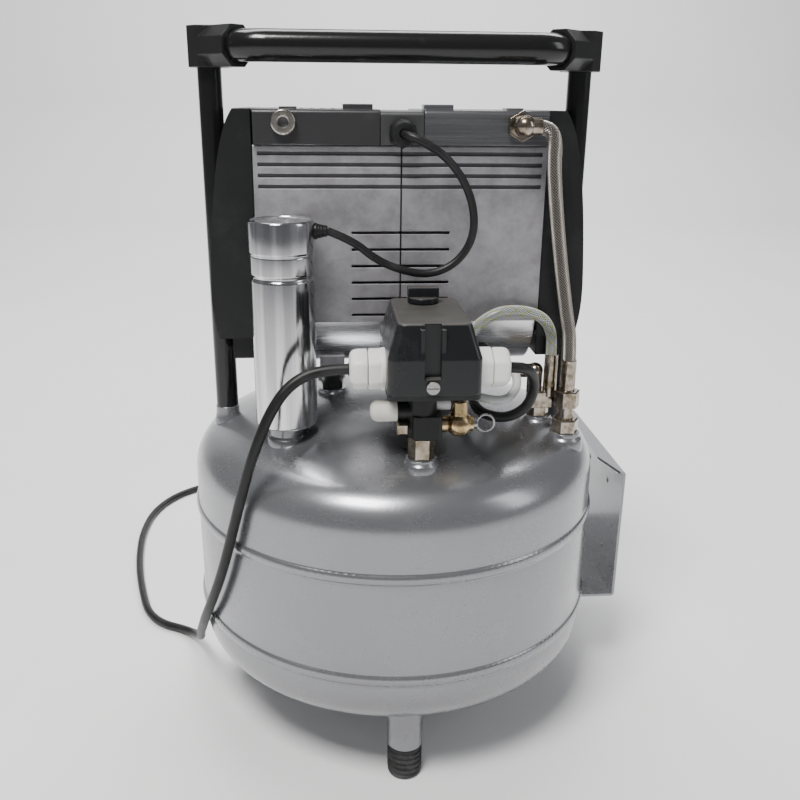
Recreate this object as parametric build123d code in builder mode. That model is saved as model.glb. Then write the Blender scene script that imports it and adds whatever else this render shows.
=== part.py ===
from build123d import *
import os
from math import acos, atan2, cos, degrees, pi, radians, sin, sqrt, tan

# Small oil-free air compressor: a twin-head motor-compressor on an upright 15 litre
# receiver. Millimetres, +Z up; the origin is on the floor under the receiver's axis and
# -Y is the side with the pressure switch.

os.makedirs("parts", exist_ok=True)

# ---- receiver ----
tank_d = 300.0            # outside diameter of the shell
tank_wall = 2.5
belly_z = 25.96           # lowest point of the lower head
seam_gap = 75.0           # from lower band to upper band
upper_flange_h = 31.0     # straight part of the upper head, above its seam
lower_flange_h = 9.0      # straight part of the lower head, below its seam
knuckle_r = 31.0          # outside radius of each head's knuckle
crown_r = 321.0           # outside radius of each head's crown
band_h = 7.5              # height of a weld band
band_t = 1.8              # how far a band stands proud of the shell
weld = 0.8                # depth by which welded-on parts sink into the shell
thread_r = 6.5            # radius of every threaded port
pad_r = 10.0              # pads under the rubber mounts
can_seat_r = 12.0         # seat of the capacitor
port_boss_r = 10.0
check_boss_r = 11.0
seat_depth = 16.0         # how far a boss is drawn down before it is cut to the head

# ---- legs and feet ----
leg_d = 25.0
leg_wall = 2.0
leg_pitch_r = 121.0       # radius on which the legs stand
leg_h = 45.0              # length of tube before it is cut to the lower head
foot_h = 25.0             # visible height of a rubber foot
foot_d = 24.6
foot_plug_h = 14.0
foot_hole_d = 5.0         # threaded insert in the sole
foot_hole_h = 16.0

# ---- handle ----
post_d = 16.0
post_bore = 11.4
post_x = 126.0            # posts stand at plus and minus this
stub_d = 17.0             # silver stub welded to the head
stub_rise = 10.22         # top of a stub over the head under the post
spigot_h = 25.0
grip_d = 20.0
grip_wall = 2.0
grip_rise = 37.96         # centre of the grip bar over the cylinder heads
grip_bow = 30.0           # how far the bar stands forward of the posts
grip_bend_x = 97.0        # where the bar turns back towards a post
grip_bend_r = 22.0
corner_af = 25.5          # across flats of the faceted corner fitting
corner_reach = 31.0       # from the post's axis to the mouth for the bar

# ---- motor-compressor housing ----
motor_y = 14.0            # the motor stands a little behind the receiver's axis
mount_gap = 17.0          # from the crown of the receiver to the bottom of the barrel
barrel_r = 52.0
half_w = 96.5             # half the length of the two-part casting
half_depth = 56.0         # from the shaft's plane to the flat front
panel_drop = 12.0         # the flat front starts this far below the barrel's centre
deck_rise = 105.5         # height of the cylinder deck above the barrel's centre
shaft_rise = 43.0         # height of the shaft above the barrel's centre
case_wall = 4.5
split_gap = 0.3           # half the joint line between the two castings

# ---- motor ----
stator_r = 46.0
stator_half = 34.0
rotor_r = 26.5
air_gap = 0.5
shaft_r = 6.0
bearing_r = 13.0
bearing_w = 8.0
bearing_x = 48.0
fan_r = 48.0
fan_x = 104.0
fan_w = 9.0
running = 0.04            # radial clearance of a running fit
fit = 0.05                # radial clearance of a seated piece

# ---- cylinders ----
cylinder_x = 66.0
bore_r = 24.0
liner_wall = 3.0
liner_h = 40.5
throw = 6.0               # eccentric throw, so the stroke is twice this
eccentric_r = 15.0
rod_length = 55.0         # from the eccentric's centre to the top of the piston
rod_w = 10.0
head_h = 22.0
head_out = 4.0            # the heads stand this far proud of the casting
cap_split_x = 14.3        # inner end of a cylinder head
plate_t = 3.0

# ---- end covers ----
cover_gap = 0.5           # between casting and end cover
cover_bulge = 127.0       # widest point of a cover from the middle
cover_wall = 2.5
post_channel_r = 11.5     # channel in the cover that a handle post stands in

# ---- capacitor ----
can_x = -78.5
can_clear = 2.3           # between the can and the flat front
can_r = 20.7
can_h = 115.0
can_lip = 0.7             # how far the lid stands proud of the can
can_cap_h = 22.0
can_gap = 9.57           # underside of the can over the head below it
lead_d = 5.2

# ---- pressure switch and fittings ----
port_x = 9.0              # axis of the air port on the upper head
port_y = -110.0
switch_x = 13.5           # middle of the switch
switch_front = -140.0
switch_depth = 82.0
switch_w = 57.0
switch_rise = 48.12       # underside of the base over the port
switch_h = 46.0
base_t = 3.0
cover_straight = 22.0     # straight part of the switch cover
cover_t = 2.5
gland_rise = 11.0         # middle of the glands over the underside of the base
gland_y = -108.0
gland_r = 14.0
cable_d = 7.0

# ---- hoses ----
delivery_d = 8.4
outlet_d = 7.6
signal_d = 6.0
check_x = 119.5           # check valve on the upper head
check_y = -50.0
outlet_x = 103.0          # outlet fitting on the upper head
outlet_y = -33.0

# ---- free power cord ----
floor_z = cable_d / 2 + 0.1
coil_x = -40.0
coil_y = 330.0
coil_r = 38.5
coil_section_r = 9.4

# ---- worked out from the sizes above ----
tank_r = tank_d / 2


def head_rise(r):
    """Height of a head's outer surface above its straight flange, at radius r."""
    knuckle_c = tank_r - knuckle_r
    crown_c = -sqrt((crown_r - knuckle_r) ** 2 - knuckle_c**2)
    if r <= knuckle_c * crown_r / (crown_r - knuckle_r):
        return crown_c + sqrt(crown_r**2 - r**2)
    return sqrt(knuckle_r**2 - (r - knuckle_c) ** 2)


lower_flange_z = belly_z + head_rise(0)
lower_seam_z = lower_flange_z + lower_flange_h    # lower edge of the lower weld band
upper_seam_z = lower_seam_z + seam_gap
upper_flange_z = upper_seam_z + upper_flange_h


def dome_z(x, y):
    """Height of the upper head's outer surface over a point."""
    return upper_flange_z + head_rise(sqrt(x * x + y * y))


def boss_top(x, y, reach):
    """Height at which a flat seat of the given reach clears the domed head."""
    return upper_flange_z + head_rise(sqrt(x * x + y * y) - reach) + 0.3


tank_top = dome_z(0, 0)
port_z = boss_top(port_x, port_y, 8.9)
check_z = boss_top(check_x, check_y, 10.0)
tee_z = boss_top(outlet_x, outlet_y, 8.3)
barrel_z = tank_top + mount_gap + barrel_r
panel_bottom = barrel_z - panel_drop
deck_z = barrel_z + deck_rise
shaft_z = barrel_z + shaft_rise
head_top = deck_z + head_h
front_y = motor_y - half_depth
back_y = motor_y + half_depth
head_front = front_y - head_out
grip_z = head_top + grip_rise
stub_top = dome_z(post_x, 0) + stub_rise
can_y = front_y - can_clear - can_r
can_cap_r = can_r + can_lip
can_lift = dome_z(can_x, can_y) + can_gap
switch_z = port_z + switch_rise
gland_z = switch_z + gland_rise
pad_top = tank_top - 1.0
lug_bottom = barrel_z - barrel_r - 1.5
mount_x = 47.0
mount_spots = [(sx * mount_x, motor_y + dy) for sx in (-1, 1) for dy in (-20.0, 20.0)]
stud_r = 3.0
stud_h = 7.0


def keep(part, label):
    """Label a finished piece and write it as its own STEP file."""
    part.label = label
    export_step(part, "parts/" + label + ".step")
    print(label, "volume", round(part.volume))


def route_radii(points):
    """One radius per corner: 0.45 of the shorter run over the tangent of half the turn."""
    radii = []
    for before, here, after in zip(points, points[1:], points[2:]):
        run_in = Vector(*here) - Vector(*before)
        run_out = Vector(*after) - Vector(*here)
        half_turn = radians(run_in.get_angle(run_out)) / 2
        radii.append(0.45 * min(run_in.length, run_out.length) / tan(half_turn))
    return radii


def tube(label, points, diameter, bore=0.0, bend=0.0):
    """A round tube along straight runs joined by tangent arcs, all of one bend if it is given."""
    radii = [bend] * (len(points) - 2) if bend > 0 else route_radii(points)
    with BuildPart() as made:
        with BuildLine() as route:
            FilletPolyline(*points, radius=radii)
        with BuildSketch(Plane(origin=route.line @ 0, z_dir=route.line % 0)):
            Circle(diameter / 2)
            if bore > 0:
                Circle(bore / 2, mode=Mode.SUBTRACT)
        sweep(path=route.wires()[0])
    section = pi * (diameter**2 - bore**2) / 4
    length = route.wires()[0].length
    print(label, "length", round(length, 1), "smallest radius", round(min(radii), 1),
          "volume ratio", round(made.part.volume / (section * length), 4))
    return made.part


# ================= receiver =================
def vessel_section(inset):
    """Half section of the vessel, moved inwards by inset, on the XZ plane."""
    r = tank_r - inset
    knuckle = knuckle_r - inset
    crown = crown_r - inset
    knuckle_c = tank_r - knuckle_r
    crown_c = -sqrt((crown_r - knuckle_r) ** 2 - knuckle_c**2)
    edge = acos(knuckle_c / (crown_r - knuckle_r))
    with BuildSketch(Plane.XZ) as section:
        with BuildLine():
            ends = []
            for flange, up in ((upper_flange_z, 1), (lower_flange_z, -1)):
                join = (crown * cos(edge), flange + up * (crown_c + crown * sin(edge)))
                mid_crown = (edge + pi / 2) / 2
                ThreePointArc(
                    (0, flange + up * (crown_c + crown)),
                    (crown * cos(mid_crown), flange + up * (crown_c + crown * sin(mid_crown))),
                    join,
                )
                ThreePointArc(
                    join,
                    (knuckle_c + knuckle * cos(edge / 2), flange + up * knuckle * sin(edge / 2)),
                    (r, flange),
                )
                ends.append((0, flange + up * (crown_c + crown)))
            Line((r, upper_flange_z), (r, lower_flange_z))
            Line(ends[0], ends[1])
        make_face()
    return section.sketch


vessel_body = revolve(vessel_section(0), axis=Axis.Z)

drain_top = lower_flange_z - head_rise(0)
with BuildPart() as receiver:
    add(vessel_body)
    # raised weld bands
    for seam_z in (lower_seam_z, upper_seam_z):
        with BuildSketch(Plane.XZ) as band:
            with Locations((tank_r + band_t / 2 - weld / 2, seam_z + band_h / 2)):
                RectangleRounded(band_t + weld, band_h, 1.1)
        revolve(axis=Axis.Z)
    # the hollow inside, then the ports into it
    revolve(vessel_section(tank_wall), axis=Axis.Z, mode=Mode.SUBTRACT)
    for x, y in ((port_x, port_y), (check_x, check_y), (outlet_x, outlet_y)):
        with Locations((x, y, dome_z(x, y))):
            Cylinder(thread_r, 30, mode=Mode.SUBTRACT)
    with Locations((0, 0, drain_top)):
        Cylinder(thread_r, 20, mode=Mode.SUBTRACT)
keep(receiver.part, "receiver")

# ---- what is welded on the receiver: stubs, pads, the capacitor's seat and the ports ----
with BuildPart() as seats:
    for side in (-1, 1):
        stub_base = dome_z(post_x + stub_d / 2, 0) - weld
        with Locations((side * post_x, 0, stub_base)):
            Cylinder(stub_d / 2, stub_top - stub_base, align=(Align.CENTER, Align.CENTER, Align.MIN))
        with Locations((side * post_x, 0, stub_top)):
            Cylinder(post_bore / 2 - fit, spigot_h, align=(Align.CENTER, Align.CENTER, Align.MIN))
    # pads for the rubber mounts
    for x, y in mount_spots:
        with Locations((x, y, pad_top)):
            Cylinder(pad_r, seat_depth, align=(Align.CENTER, Align.CENTER, Align.MAX))
    with Locations((can_x, can_y, can_lift)):
        Cylinder(can_seat_r, can_lift - dome_z(can_x, can_y) + 7,
                 align=(Align.CENTER, Align.CENTER, Align.MAX))
    for x, y, z, r in (
        (port_x, port_y, port_z, port_boss_r),
        (check_x, check_y, check_z, check_boss_r),
        (outlet_x, outlet_y, tee_z, port_boss_r),
    ):
        with Locations((x, y, z)):
            Cylinder(r, seat_depth, align=(Align.CENTER, Align.CENTER, Align.MAX))
    with Locations((0, 0, drain_top + 2)):
        Cylinder(port_boss_r, 9, align=(Align.CENTER, Align.CENTER, Align.MAX))
    add(vessel_body, mode=Mode.SUBTRACT)
    for x, y in mount_spots:
        with Locations((x, y, pad_top)):
            Cylinder(stud_r, stud_h, align=(Align.CENTER, Align.CENTER, Align.MIN))
    for x, y in ((port_x, port_y), (check_x, check_y), (outlet_x, outlet_y), (0, 0)):
        with Locations((x, y, dome_z(x, y) if y else drain_top)):
            Cylinder(thread_r, 30, mode=Mode.SUBTRACT)
keep(seats.part, "receiver_seats")

leg_angles = (270, 30, 150)
leg_spots = [(leg_pitch_r * cos(radians(a)), leg_pitch_r * sin(radians(a))) for a in leg_angles]

with BuildPart() as legs:
    for x, y in leg_spots:
        with Locations((x, y, foot_h)):
            Cylinder(leg_d / 2, leg_h, align=(Align.CENTER, Align.CENTER, Align.MIN))
            Cylinder(leg_d / 2 - leg_wall, leg_h, align=(Align.CENTER, Align.CENTER, Align.MIN),
                     mode=Mode.SUBTRACT)
    add(vessel_body, mode=Mode.SUBTRACT)
keep(legs.part, "legs")

with BuildPart() as feet:
    for x, y in leg_spots:
        with Locations((x, y, 0)):
            Cylinder(foot_d / 2, foot_h, align=(Align.CENTER, Align.CENTER, Align.MIN))
    fillet(feet.edges().group_by(Axis.Z)[0], 2.0)
    for x, y in leg_spots:
        # moulded grip rings round the foot
        for ring in range(4):
            with Locations((x, y, 6 + 4 * ring)):
                Torus(foot_d / 2, 0.6, mode=Mode.SUBTRACT)
        with Locations((x, y, foot_h)):
            Cylinder(leg_d / 2 - leg_wall - fit, foot_plug_h,
                     align=(Align.CENTER, Align.CENTER, Align.MIN))
        with Locations((x, y, 0)):
            Cylinder(foot_hole_d / 2, foot_hole_h, align=(Align.CENTER, Align.CENTER, Align.MIN),
                     mode=Mode.SUBTRACT)
keep(feet.part, "feet")

# ---- regulator bracket: a folded channel welded to the right of the shell ----
bracket_x = tank_r + 30.0
bracket_t = 2.0
bracket_low = 74.0
bracket_high = 184.0
bracket_front = -20.0
bracket_back = 126.0
bracket_lip = 13.0
with BuildPart() as bracket:
    with BuildSketch(Plane.XZ.offset(-bracket_back)):
        with BuildLine():
            Polyline(
                (90, bracket_low),
                (bracket_x, bracket_low),
                (bracket_x, bracket_high),
                (bracket_x - bracket_lip, bracket_high),
                (bracket_x - bracket_lip, bracket_high - bracket_t),
                (bracket_x - bracket_t, bracket_high - bracket_t),
                (bracket_x - bracket_t, bracket_low + bracket_t),
                (90, bracket_low + bracket_t),
                close=True,
            )
        make_face()
    extrude(amount=bracket_back - bracket_front)
    outer = bracket.edges().filter_by(Axis.Y).group_by(Axis.X)[-1]
    fillet(outer, 2.5)
    # the lip starts narrow at the front
    with BuildSketch(Plane.XY.offset(bracket_high - bracket_t - 1)):
        with BuildLine():
            Polyline(
                (bracket_x - bracket_lip - 1, bracket_front - 1),
                (bracket_x - 4, bracket_front - 1),
                (bracket_x - bracket_lip - 1, bracket_front + 36),
                close=True,
            )
        make_face()
    extrude(amount=bracket_t + 2, mode=Mode.SUBTRACT)
    # fixing holes for a filter or regulator
    with Locations(Plane((bracket_x - bracket_t / 2, bracket_front + 60, 132), z_dir=(1, 0, 0))):
        with GridLocations(60, 50, 2, 2):
            Cylinder(2.75, 8, mode=Mode.SUBTRACT)
    with Locations(Plane((bracket_x - bracket_t / 2, bracket_front + 9, 96), z_dir=(1, 0, 0))):
        with GridLocations(10, 14, 1, 3):
            Cylinder(1.5, 8, mode=Mode.SUBTRACT)
    add(vessel_body, mode=Mode.SUBTRACT)
keep(bracket.part, "regulator_bracket")

# ---- drain cock under the receiver ----
drain_axis_z = drain_top - 13.0
with BuildPart() as drain_body:
    with Locations((0, 0, drain_top + 1)):
        Cylinder(thread_r - fit, 9, align=(Align.CENTER, Align.CENTER, Align.MAX))
    with BuildSketch(Plane.XY.offset(drain_top - 7)):
        RegularPolygon(8, 6, major_radius=False)
    extrude(amount=-11)
    with Locations(Plane((0, 0, drain_axis_z), z_dir=(0, -1, 0))):
        Cylinder(5.5, 16, align=(Align.CENTER, Align.CENTER, Align.MIN))
        Cylinder(3, 17, align=(Align.CENTER, Align.CENTER, Align.MIN), mode=Mode.SUBTRACT)
keep(drain_body.part, "drain_body")

with BuildPart() as drain_screw:
    with Locations(Plane((0, -4, drain_axis_z), z_dir=(0, -1, 0))):
        Cylinder(3 - running, 14, align=(Align.CENTER, Align.CENTER, Align.MIN))
    with BuildSketch(Plane((0, -16.5, drain_axis_z), z_dir=(0, -1, 0))):
        Circle(7)
        with PolarLocations(7, 12):
            Circle(0.8, mode=Mode.SUBTRACT)
    extrude(amount=8)
keep(drain_screw.part, "drain_screw")

# ================= handle =================
post_top = grip_z + 5.5
turn_run = (post_x - grip_bend_x, -grip_bow)
turn_angle = degrees(atan2(turn_run[1], -turn_run[0]))
with BuildPart() as posts:
    for side in (-1, 1):
        with Locations((side * post_x, 0, stub_top)):
            Cylinder(post_d / 2, post_top - stub_top, align=(Align.CENTER, Align.CENTER, Align.MIN))
            Cylinder(post_bore / 2, post_top - stub_top, align=(Align.CENTER, Align.CENTER, Align.MIN),
                     mode=Mode.SUBTRACT)
keep(posts.part, "handle_posts")

with BuildPart() as corners:
    for side in (-1, 1):
        run = Vector(-side * turn_run[0], turn_run[1], 0).normalized()
        centre = Vector(side * post_x, 0, grip_z)
        with BuildSketch(Plane.XY.offset(grip_z - corner_af / 2)):
            with Locations((side * post_x, 0)):
                RegularPolygon(corner_af / 2, 8, major_radius=False, rotation=22.5)
        extrude(amount=corner_af)
        with BuildSketch(Plane(origin=centre, x_dir=(0, 0, 1), z_dir=run)):
            RegularPolygon(corner_af / 2, 8, major_radius=False, rotation=22.5)
        extrude(amount=corner_reach)
        # sockets for the post, from below, and for the bar
        with Locations((side * post_x, 0, post_top + 0.3)):
            Cylinder(post_d / 2 + fit, 40, align=(Align.CENTER, Align.CENTER, Align.MAX),
                     mode=Mode.SUBTRACT)
        with Locations(Plane(origin=centre + run * (post_d / 2), z_dir=run)):
            Cylinder(grip_d / 2 + fit, 40, align=(Align.CENTER, Align.CENTER, Align.MIN),
                     mode=Mode.SUBTRACT)
keep(corners.part, "handle_corners")

grip_start = Vector(-post_x, 0, grip_z) + Vector(turn_run[0], turn_run[1], 0).normalized() * (post_d / 2 + 1.5)
grip_route = [
    (grip_start.X, grip_start.Y, grip_z),
    (-grip_bend_x, -grip_bow, grip_z),
    (grip_bend_x, -grip_bow, grip_z),
    (-grip_start.X, grip_start.Y, grip_z),
]
keep(tube("handle_grip", grip_route, grip_d, grip_d - 2 * grip_wall, grip_bend_r), "handle_grip")

# ================= rubber mounts =================
with BuildPart() as mounts:
    for x, y in mount_spots:
        with BuildSketch(Plane((x, y, 0), x_dir=(1, 0, 0), z_dir=(0, -1, 0))):
            with BuildLine():
                Polyline((0, pad_top), (7.5, pad_top), (7.5, pad_top + 3))
                ThreePointArc(
                    (7.5, pad_top + 3),
                    (5.5, (pad_top + lug_bottom) / 2),
                    (7.5, lug_bottom - 3),
                )
                Polyline((7.5, lug_bottom - 3), (7.5, lug_bottom), (stud_r, lug_bottom))
                Polyline((stud_r, lug_bottom), (stud_r, lug_bottom + stud_h), (0, lug_bottom + stud_h))
                Line((0, lug_bottom + stud_h), (0, pad_top))
            make_face()
        revolve(axis=Axis((x, y, 0), (0, 0, 1)))
        with Locations((x, y, pad_top)):
            Cylinder(stud_r + fit, stud_h + 1, align=(Align.CENTER, Align.CENTER, Align.MIN),
                     mode=Mode.SUBTRACT)
keep(mounts.part, "rubber_mounts")

# ================= housing castings =================
deck_inside = deck_z - case_wall
cavity_front = front_y + case_wall
cavity_low = shaft_z - stator_r - 2.0
liner_r = bore_r + liner_wall
groove_z = [deck_z - 5.5 - 7.0 * n for n in range(4)]
slot_z = [panel_bottom + 5.0 + 11.2 * n for n in range(6)]
slot_half = 33.0
groove_end = half_w - 3.0


def barrel_slice(plane, r, top):
    """The part of a circle round the barrel's centre that lies below a height."""
    reach = sqrt(r * r - (top - barrel_z) ** 2)
    with BuildSketch(plane) as sliced:
        with BuildLine():
            ThreePointArc((motor_y - reach, top), (motor_y, barrel_z - r), (motor_y + reach, top))
            Line((motor_y + reach, top), (motor_y - reach, top))
        make_face()
    return sliced.sketch


# the motor's cable enters the right casting low on the front of the barrel
grommet_r = 5.5
grommet_plane = Plane(
    origin=(60, motor_y - barrel_r * sqrt(0.5), barrel_z - barrel_r * sqrt(0.5)), z_dir=(0, -1, -1)
)

for side, name in ((-1, "left"), (1, "right")):
    inner = Plane(origin=(side * split_gap, 0, 0), x_dir=(0, 1, 0), z_dir=(1, 0, 0))
    with BuildPart() as casting:
        # D-shaped outside: flat front and back above a round barrel
        with BuildSketch(inner):
            with Locations((motor_y, (panel_bottom + deck_z) / 2)):
                Rectangle(2 * half_depth, deck_z - panel_bottom)
        extrude(amount=side * (half_w - split_gap))
        fillet(casting.edges().filter_by(Axis.X).group_by(Axis.Z)[-1], 1.5)
        extrude(barrel_slice(inner, barrel_r, panel_bottom), amount=side * (half_w - split_gap))
        for x, y in mount_spots:
            if x * side > 0:
                with Locations((x, y, lug_bottom)):
                    Box(18, 16, 12, align=(Align.CENTER, Align.CENTER, Align.MIN))
        # hollow of the barrel
        extrude(barrel_slice(inner, barrel_r - case_wall, cavity_low - case_wall),
                amount=side * (half_w - case_wall), mode=Mode.SUBTRACT)
        # round seat of the stator
        with BuildSketch(inner):
            with Locations((motor_y, shaft_z)):
                Circle(stator_r + fit)
        extrude(amount=side * (half_w - case_wall), mode=Mode.SUBTRACT)
        # crank chamber beyond the stator
        with BuildSketch(inner.offset(side * (stator_half + 2))):
            with Locations((motor_y, (cavity_low + deck_inside) / 2)):
                Rectangle(2 * (half_depth - case_wall), deck_inside - cavity_low)
        extrude(amount=side * (half_w - case_wall - stator_half - 2), mode=Mode.SUBTRACT)
        # web that holds the bearing
        with BuildSketch(inner.offset(side * (bearing_x - bearing_w / 2))):
            with Locations((motor_y, (cavity_low + deck_inside) / 2)):
                Rectangle(2 * half_depth - case_wall, deck_inside - cavity_low + 1)
            with Locations((motor_y, shaft_z)):
                Circle(bearing_r + fit, mode=Mode.SUBTRACT)
        extrude(amount=side * bearing_w)
        # deck opening and step for the cylinder liner
        with Locations((side * cylinder_x, motor_y, deck_z)):
            Cylinder(liner_r + fit, 2 * liner_h + 2, mode=Mode.SUBTRACT)
            Cylinder(liner_r + 2 + fit, 6, mode=Mode.SUBTRACT)
        # way out for the shaft
        with Locations(Plane((side * half_w, motor_y, shaft_z), z_dir=(1, 0, 0))):
            Cylinder(shaft_r + 1.5, 4 * case_wall, mode=Mode.SUBTRACT)
        # long grooves along the upper front and back, vents round the middle
        for face_y in (front_y, back_y):
            for z in groove_z:
                with Locations((side * groove_end / 2, face_y, z)):
                    Box(groove_end, 3.2, 2.6, mode=Mode.SUBTRACT)
            for z in slot_z:
                with Locations((side * slot_half / 2, face_y, z)):
                    Box(slot_half, 14, 1.9, mode=Mode.SUBTRACT)
        # blind holes for the mounts' studs and the head screws
        for x, y in mount_spots:
            if x * side > 0:
                with Locations((x, y, lug_bottom)):
                    Cylinder(stud_r + fit, stud_h + 0.5, align=(Align.CENTER, Align.CENTER, Align.MIN),
                             mode=Mode.SUBTRACT)
        if side > 0:
            with Locations(grommet_plane):
                Cylinder(grommet_r + fit, 20, mode=Mode.SUBTRACT)
    keep(casting.part, "housing_" + name)

# ================= motor =================
shaft_axis = Plane(origin=(0, motor_y, shaft_z), x_dir=(0, 1, 0), z_dir=(1, 0, 0))

with BuildPart() as stator:
    with BuildSketch(shaft_axis):
        Circle(stator_r)
        Circle(rotor_r + air_gap, mode=Mode.SUBTRACT)
        with PolarLocations(rotor_r + air_gap + 7.5, 24):
            RectangleRounded(10, 4, 1.5, mode=Mode.SUBTRACT)
    extrude(amount=stator_half, both=True)
keep(stator.part, "stator")

with BuildPart() as windings:
    for side in (-1, 1):
        with BuildSketch(shaft_axis.offset(side * (stator_half + 0.2))):
            Circle(stator_r - 6)
            Circle(rotor_r + 3, mode=Mode.SUBTRACT)
        extrude(amount=side * 4.4)
    fillet(windings.edges().filter_by(GeomType.CIRCLE), 1.5)
keep(windings.part, "windings")

with BuildPart() as rotor:
    with BuildSketch(shaft_axis):
        Circle(rotor_r)
        Circle(shaft_r, mode=Mode.SUBTRACT)
    extrude(amount=stator_half, both=True)
    for side in (-1, 1):
        with BuildSketch(shaft_axis.offset(side * stator_half)):
            Circle(rotor_r - 2)
            Circle(rotor_r - 9, mode=Mode.SUBTRACT)
        extrude(amount=side * 5)
keep(rotor.part, "rotor")

with BuildPart() as shaft:
    with BuildSketch(shaft_axis):
        Circle(shaft_r)
    extrude(amount=fan_x + fan_w / 2, both=True)
    chamfer(shaft.edges().filter_by(GeomType.CIRCLE), 0.6)
keep(shaft.part, "shaft")

with BuildPart() as bearings:
    for side in (-1, 1):
        with BuildSketch(shaft_axis.offset(side * (bearing_x - bearing_w / 2))):
            Circle(bearing_r)
            Circle(shaft_r + running, mode=Mode.SUBTRACT)
        extrude(amount=side * bearing_w)
        for face_x in (bearing_x - bearing_w / 2, bearing_x + bearing_w / 2):
            with BuildSketch(shaft_axis.offset(side * face_x)):
                Circle(bearing_r - 2)
                Circle(shaft_r + 2, mode=Mode.SUBTRACT)
            extrude(amount=0.6, both=True, mode=Mode.SUBTRACT)
keep(bearings.part, "bearings")

# cooling fans outside the castings: a hub, curved blades and a rim
with BuildPart() as fans:
    for side in (-1, 1):
        hub = shaft_axis.offset(side * fan_x)
        with BuildSketch(hub):
            Circle(shaft_r + 7)
            Circle(shaft_r, mode=Mode.SUBTRACT)
        extrude(amount=fan_w / 2, both=True)
        with BuildSketch(hub):
            with PolarLocations(0, 9):
                with BuildLine():
                    Polyline((shaft_r + 4, -2), (fan_r - 8, 4), (fan_r - 1, 13), (fan_r - 9, 8),
                             (shaft_r + 4, 2), close=True)
                make_face()
        extrude(amount=fan_w / 2 - 1, both=True)
        with BuildSketch(hub):
            Circle(fan_r)
            Circle(fan_r - 2, mode=Mode.SUBTRACT)
        extrude(amount=fan_w / 2 - 1, both=True)
keep(fans.part, "fans")

# ================= cylinders =================
# one crank plane and one crank height per side: the left piston is up, the right one down
cranks = [(Plane(origin=(side * cylinder_x, motor_y, 0), x_dir=(0, 1, 0), z_dir=(1, 0, 0)),
           shaft_z - side * throw) for side in (-1, 1)]

with BuildPart() as eccentrics:
    for crank, crank_z in cranks:
        with BuildSketch(crank):
            with Locations((0, crank_z)):
                Circle(eccentric_r)
            with Locations((0, shaft_z)):
                Circle(shaft_r + running, mode=Mode.SUBTRACT)
        extrude(amount=rod_w / 2, both=True)
keep(eccentrics.part, "eccentrics")

with BuildPart() as rods:
    for crank, crank_z in cranks:
        piston_top = crank_z + rod_length
        with BuildSketch(crank):
            with Locations((0, crank_z)):
                Circle(eccentric_r + 5)
            with Locations((0, (crank_z + piston_top) / 2)):
                Rectangle(13, piston_top - crank_z - 2)
            with Locations((0, crank_z)):
                Circle(eccentric_r + fit, mode=Mode.SUBTRACT)
        extrude(amount=rod_w / 2, both=True)
        with Locations((crank.origin.X, motor_y, piston_top)):
            Cylinder(bore_r - 0.4, 6, align=(Align.CENTER, Align.CENTER, Align.MAX))
        with Locations((crank.origin.X, motor_y, piston_top - 3)):
            Torus(bore_r - 0.4, 0.8, mode=Mode.SUBTRACT)
keep(rods.part, "piston_rods")

with BuildPart() as liners:
    for side in (-1, 1):
        with Locations((side * cylinder_x, motor_y, deck_z)):
            Cylinder(liner_r, liner_h, align=(Align.CENTER, Align.CENTER, Align.MAX))
            Cylinder(liner_r + 2, 3, align=(Align.CENTER, Align.CENTER, Align.MAX))
            Cylinder(bore_r, 2 * liner_h + 2, mode=Mode.SUBTRACT)
keep(liners.part, "cylinder_liners")

# ---- valve plates, heads and their screws ----
head_mid_x = (cap_split_x + half_w - 0.9) / 2
head_w = half_w - 0.9 - cap_split_x
head_depth = 2 * half_depth + 2 * head_out
screw_spots = [(dx, motor_y + dy) for dx in (-31.0, 31.0) for dy in (-44.0, 44.0)]
port_plug = (-76.0, head_front, deck_z + 14.0)
port_hose = (77.0, head_front, deck_z + 12.5)
port_r = 5.5

with BuildPart() as valve_plates:
    for side in (-1, 1):
        mid = side * head_mid_x
        with Locations((mid, motor_y, deck_z)):
            Box(head_w - 10, 2 * half_depth - 12, plate_t, align=(Align.CENTER, Align.CENTER, Align.MIN))
        for dx, y in screw_spots:
            with Locations((mid + dx, y, deck_z)):
                Cylinder(2.6, 20, mode=Mode.SUBTRACT)
        for dx in (-9, 9):
            with Locations((side * cylinder_x + dx, motor_y, deck_z)):
                Cylinder(3.5, 20, mode=Mode.SUBTRACT)
keep(valve_plates.part, "valve_plates")

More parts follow.
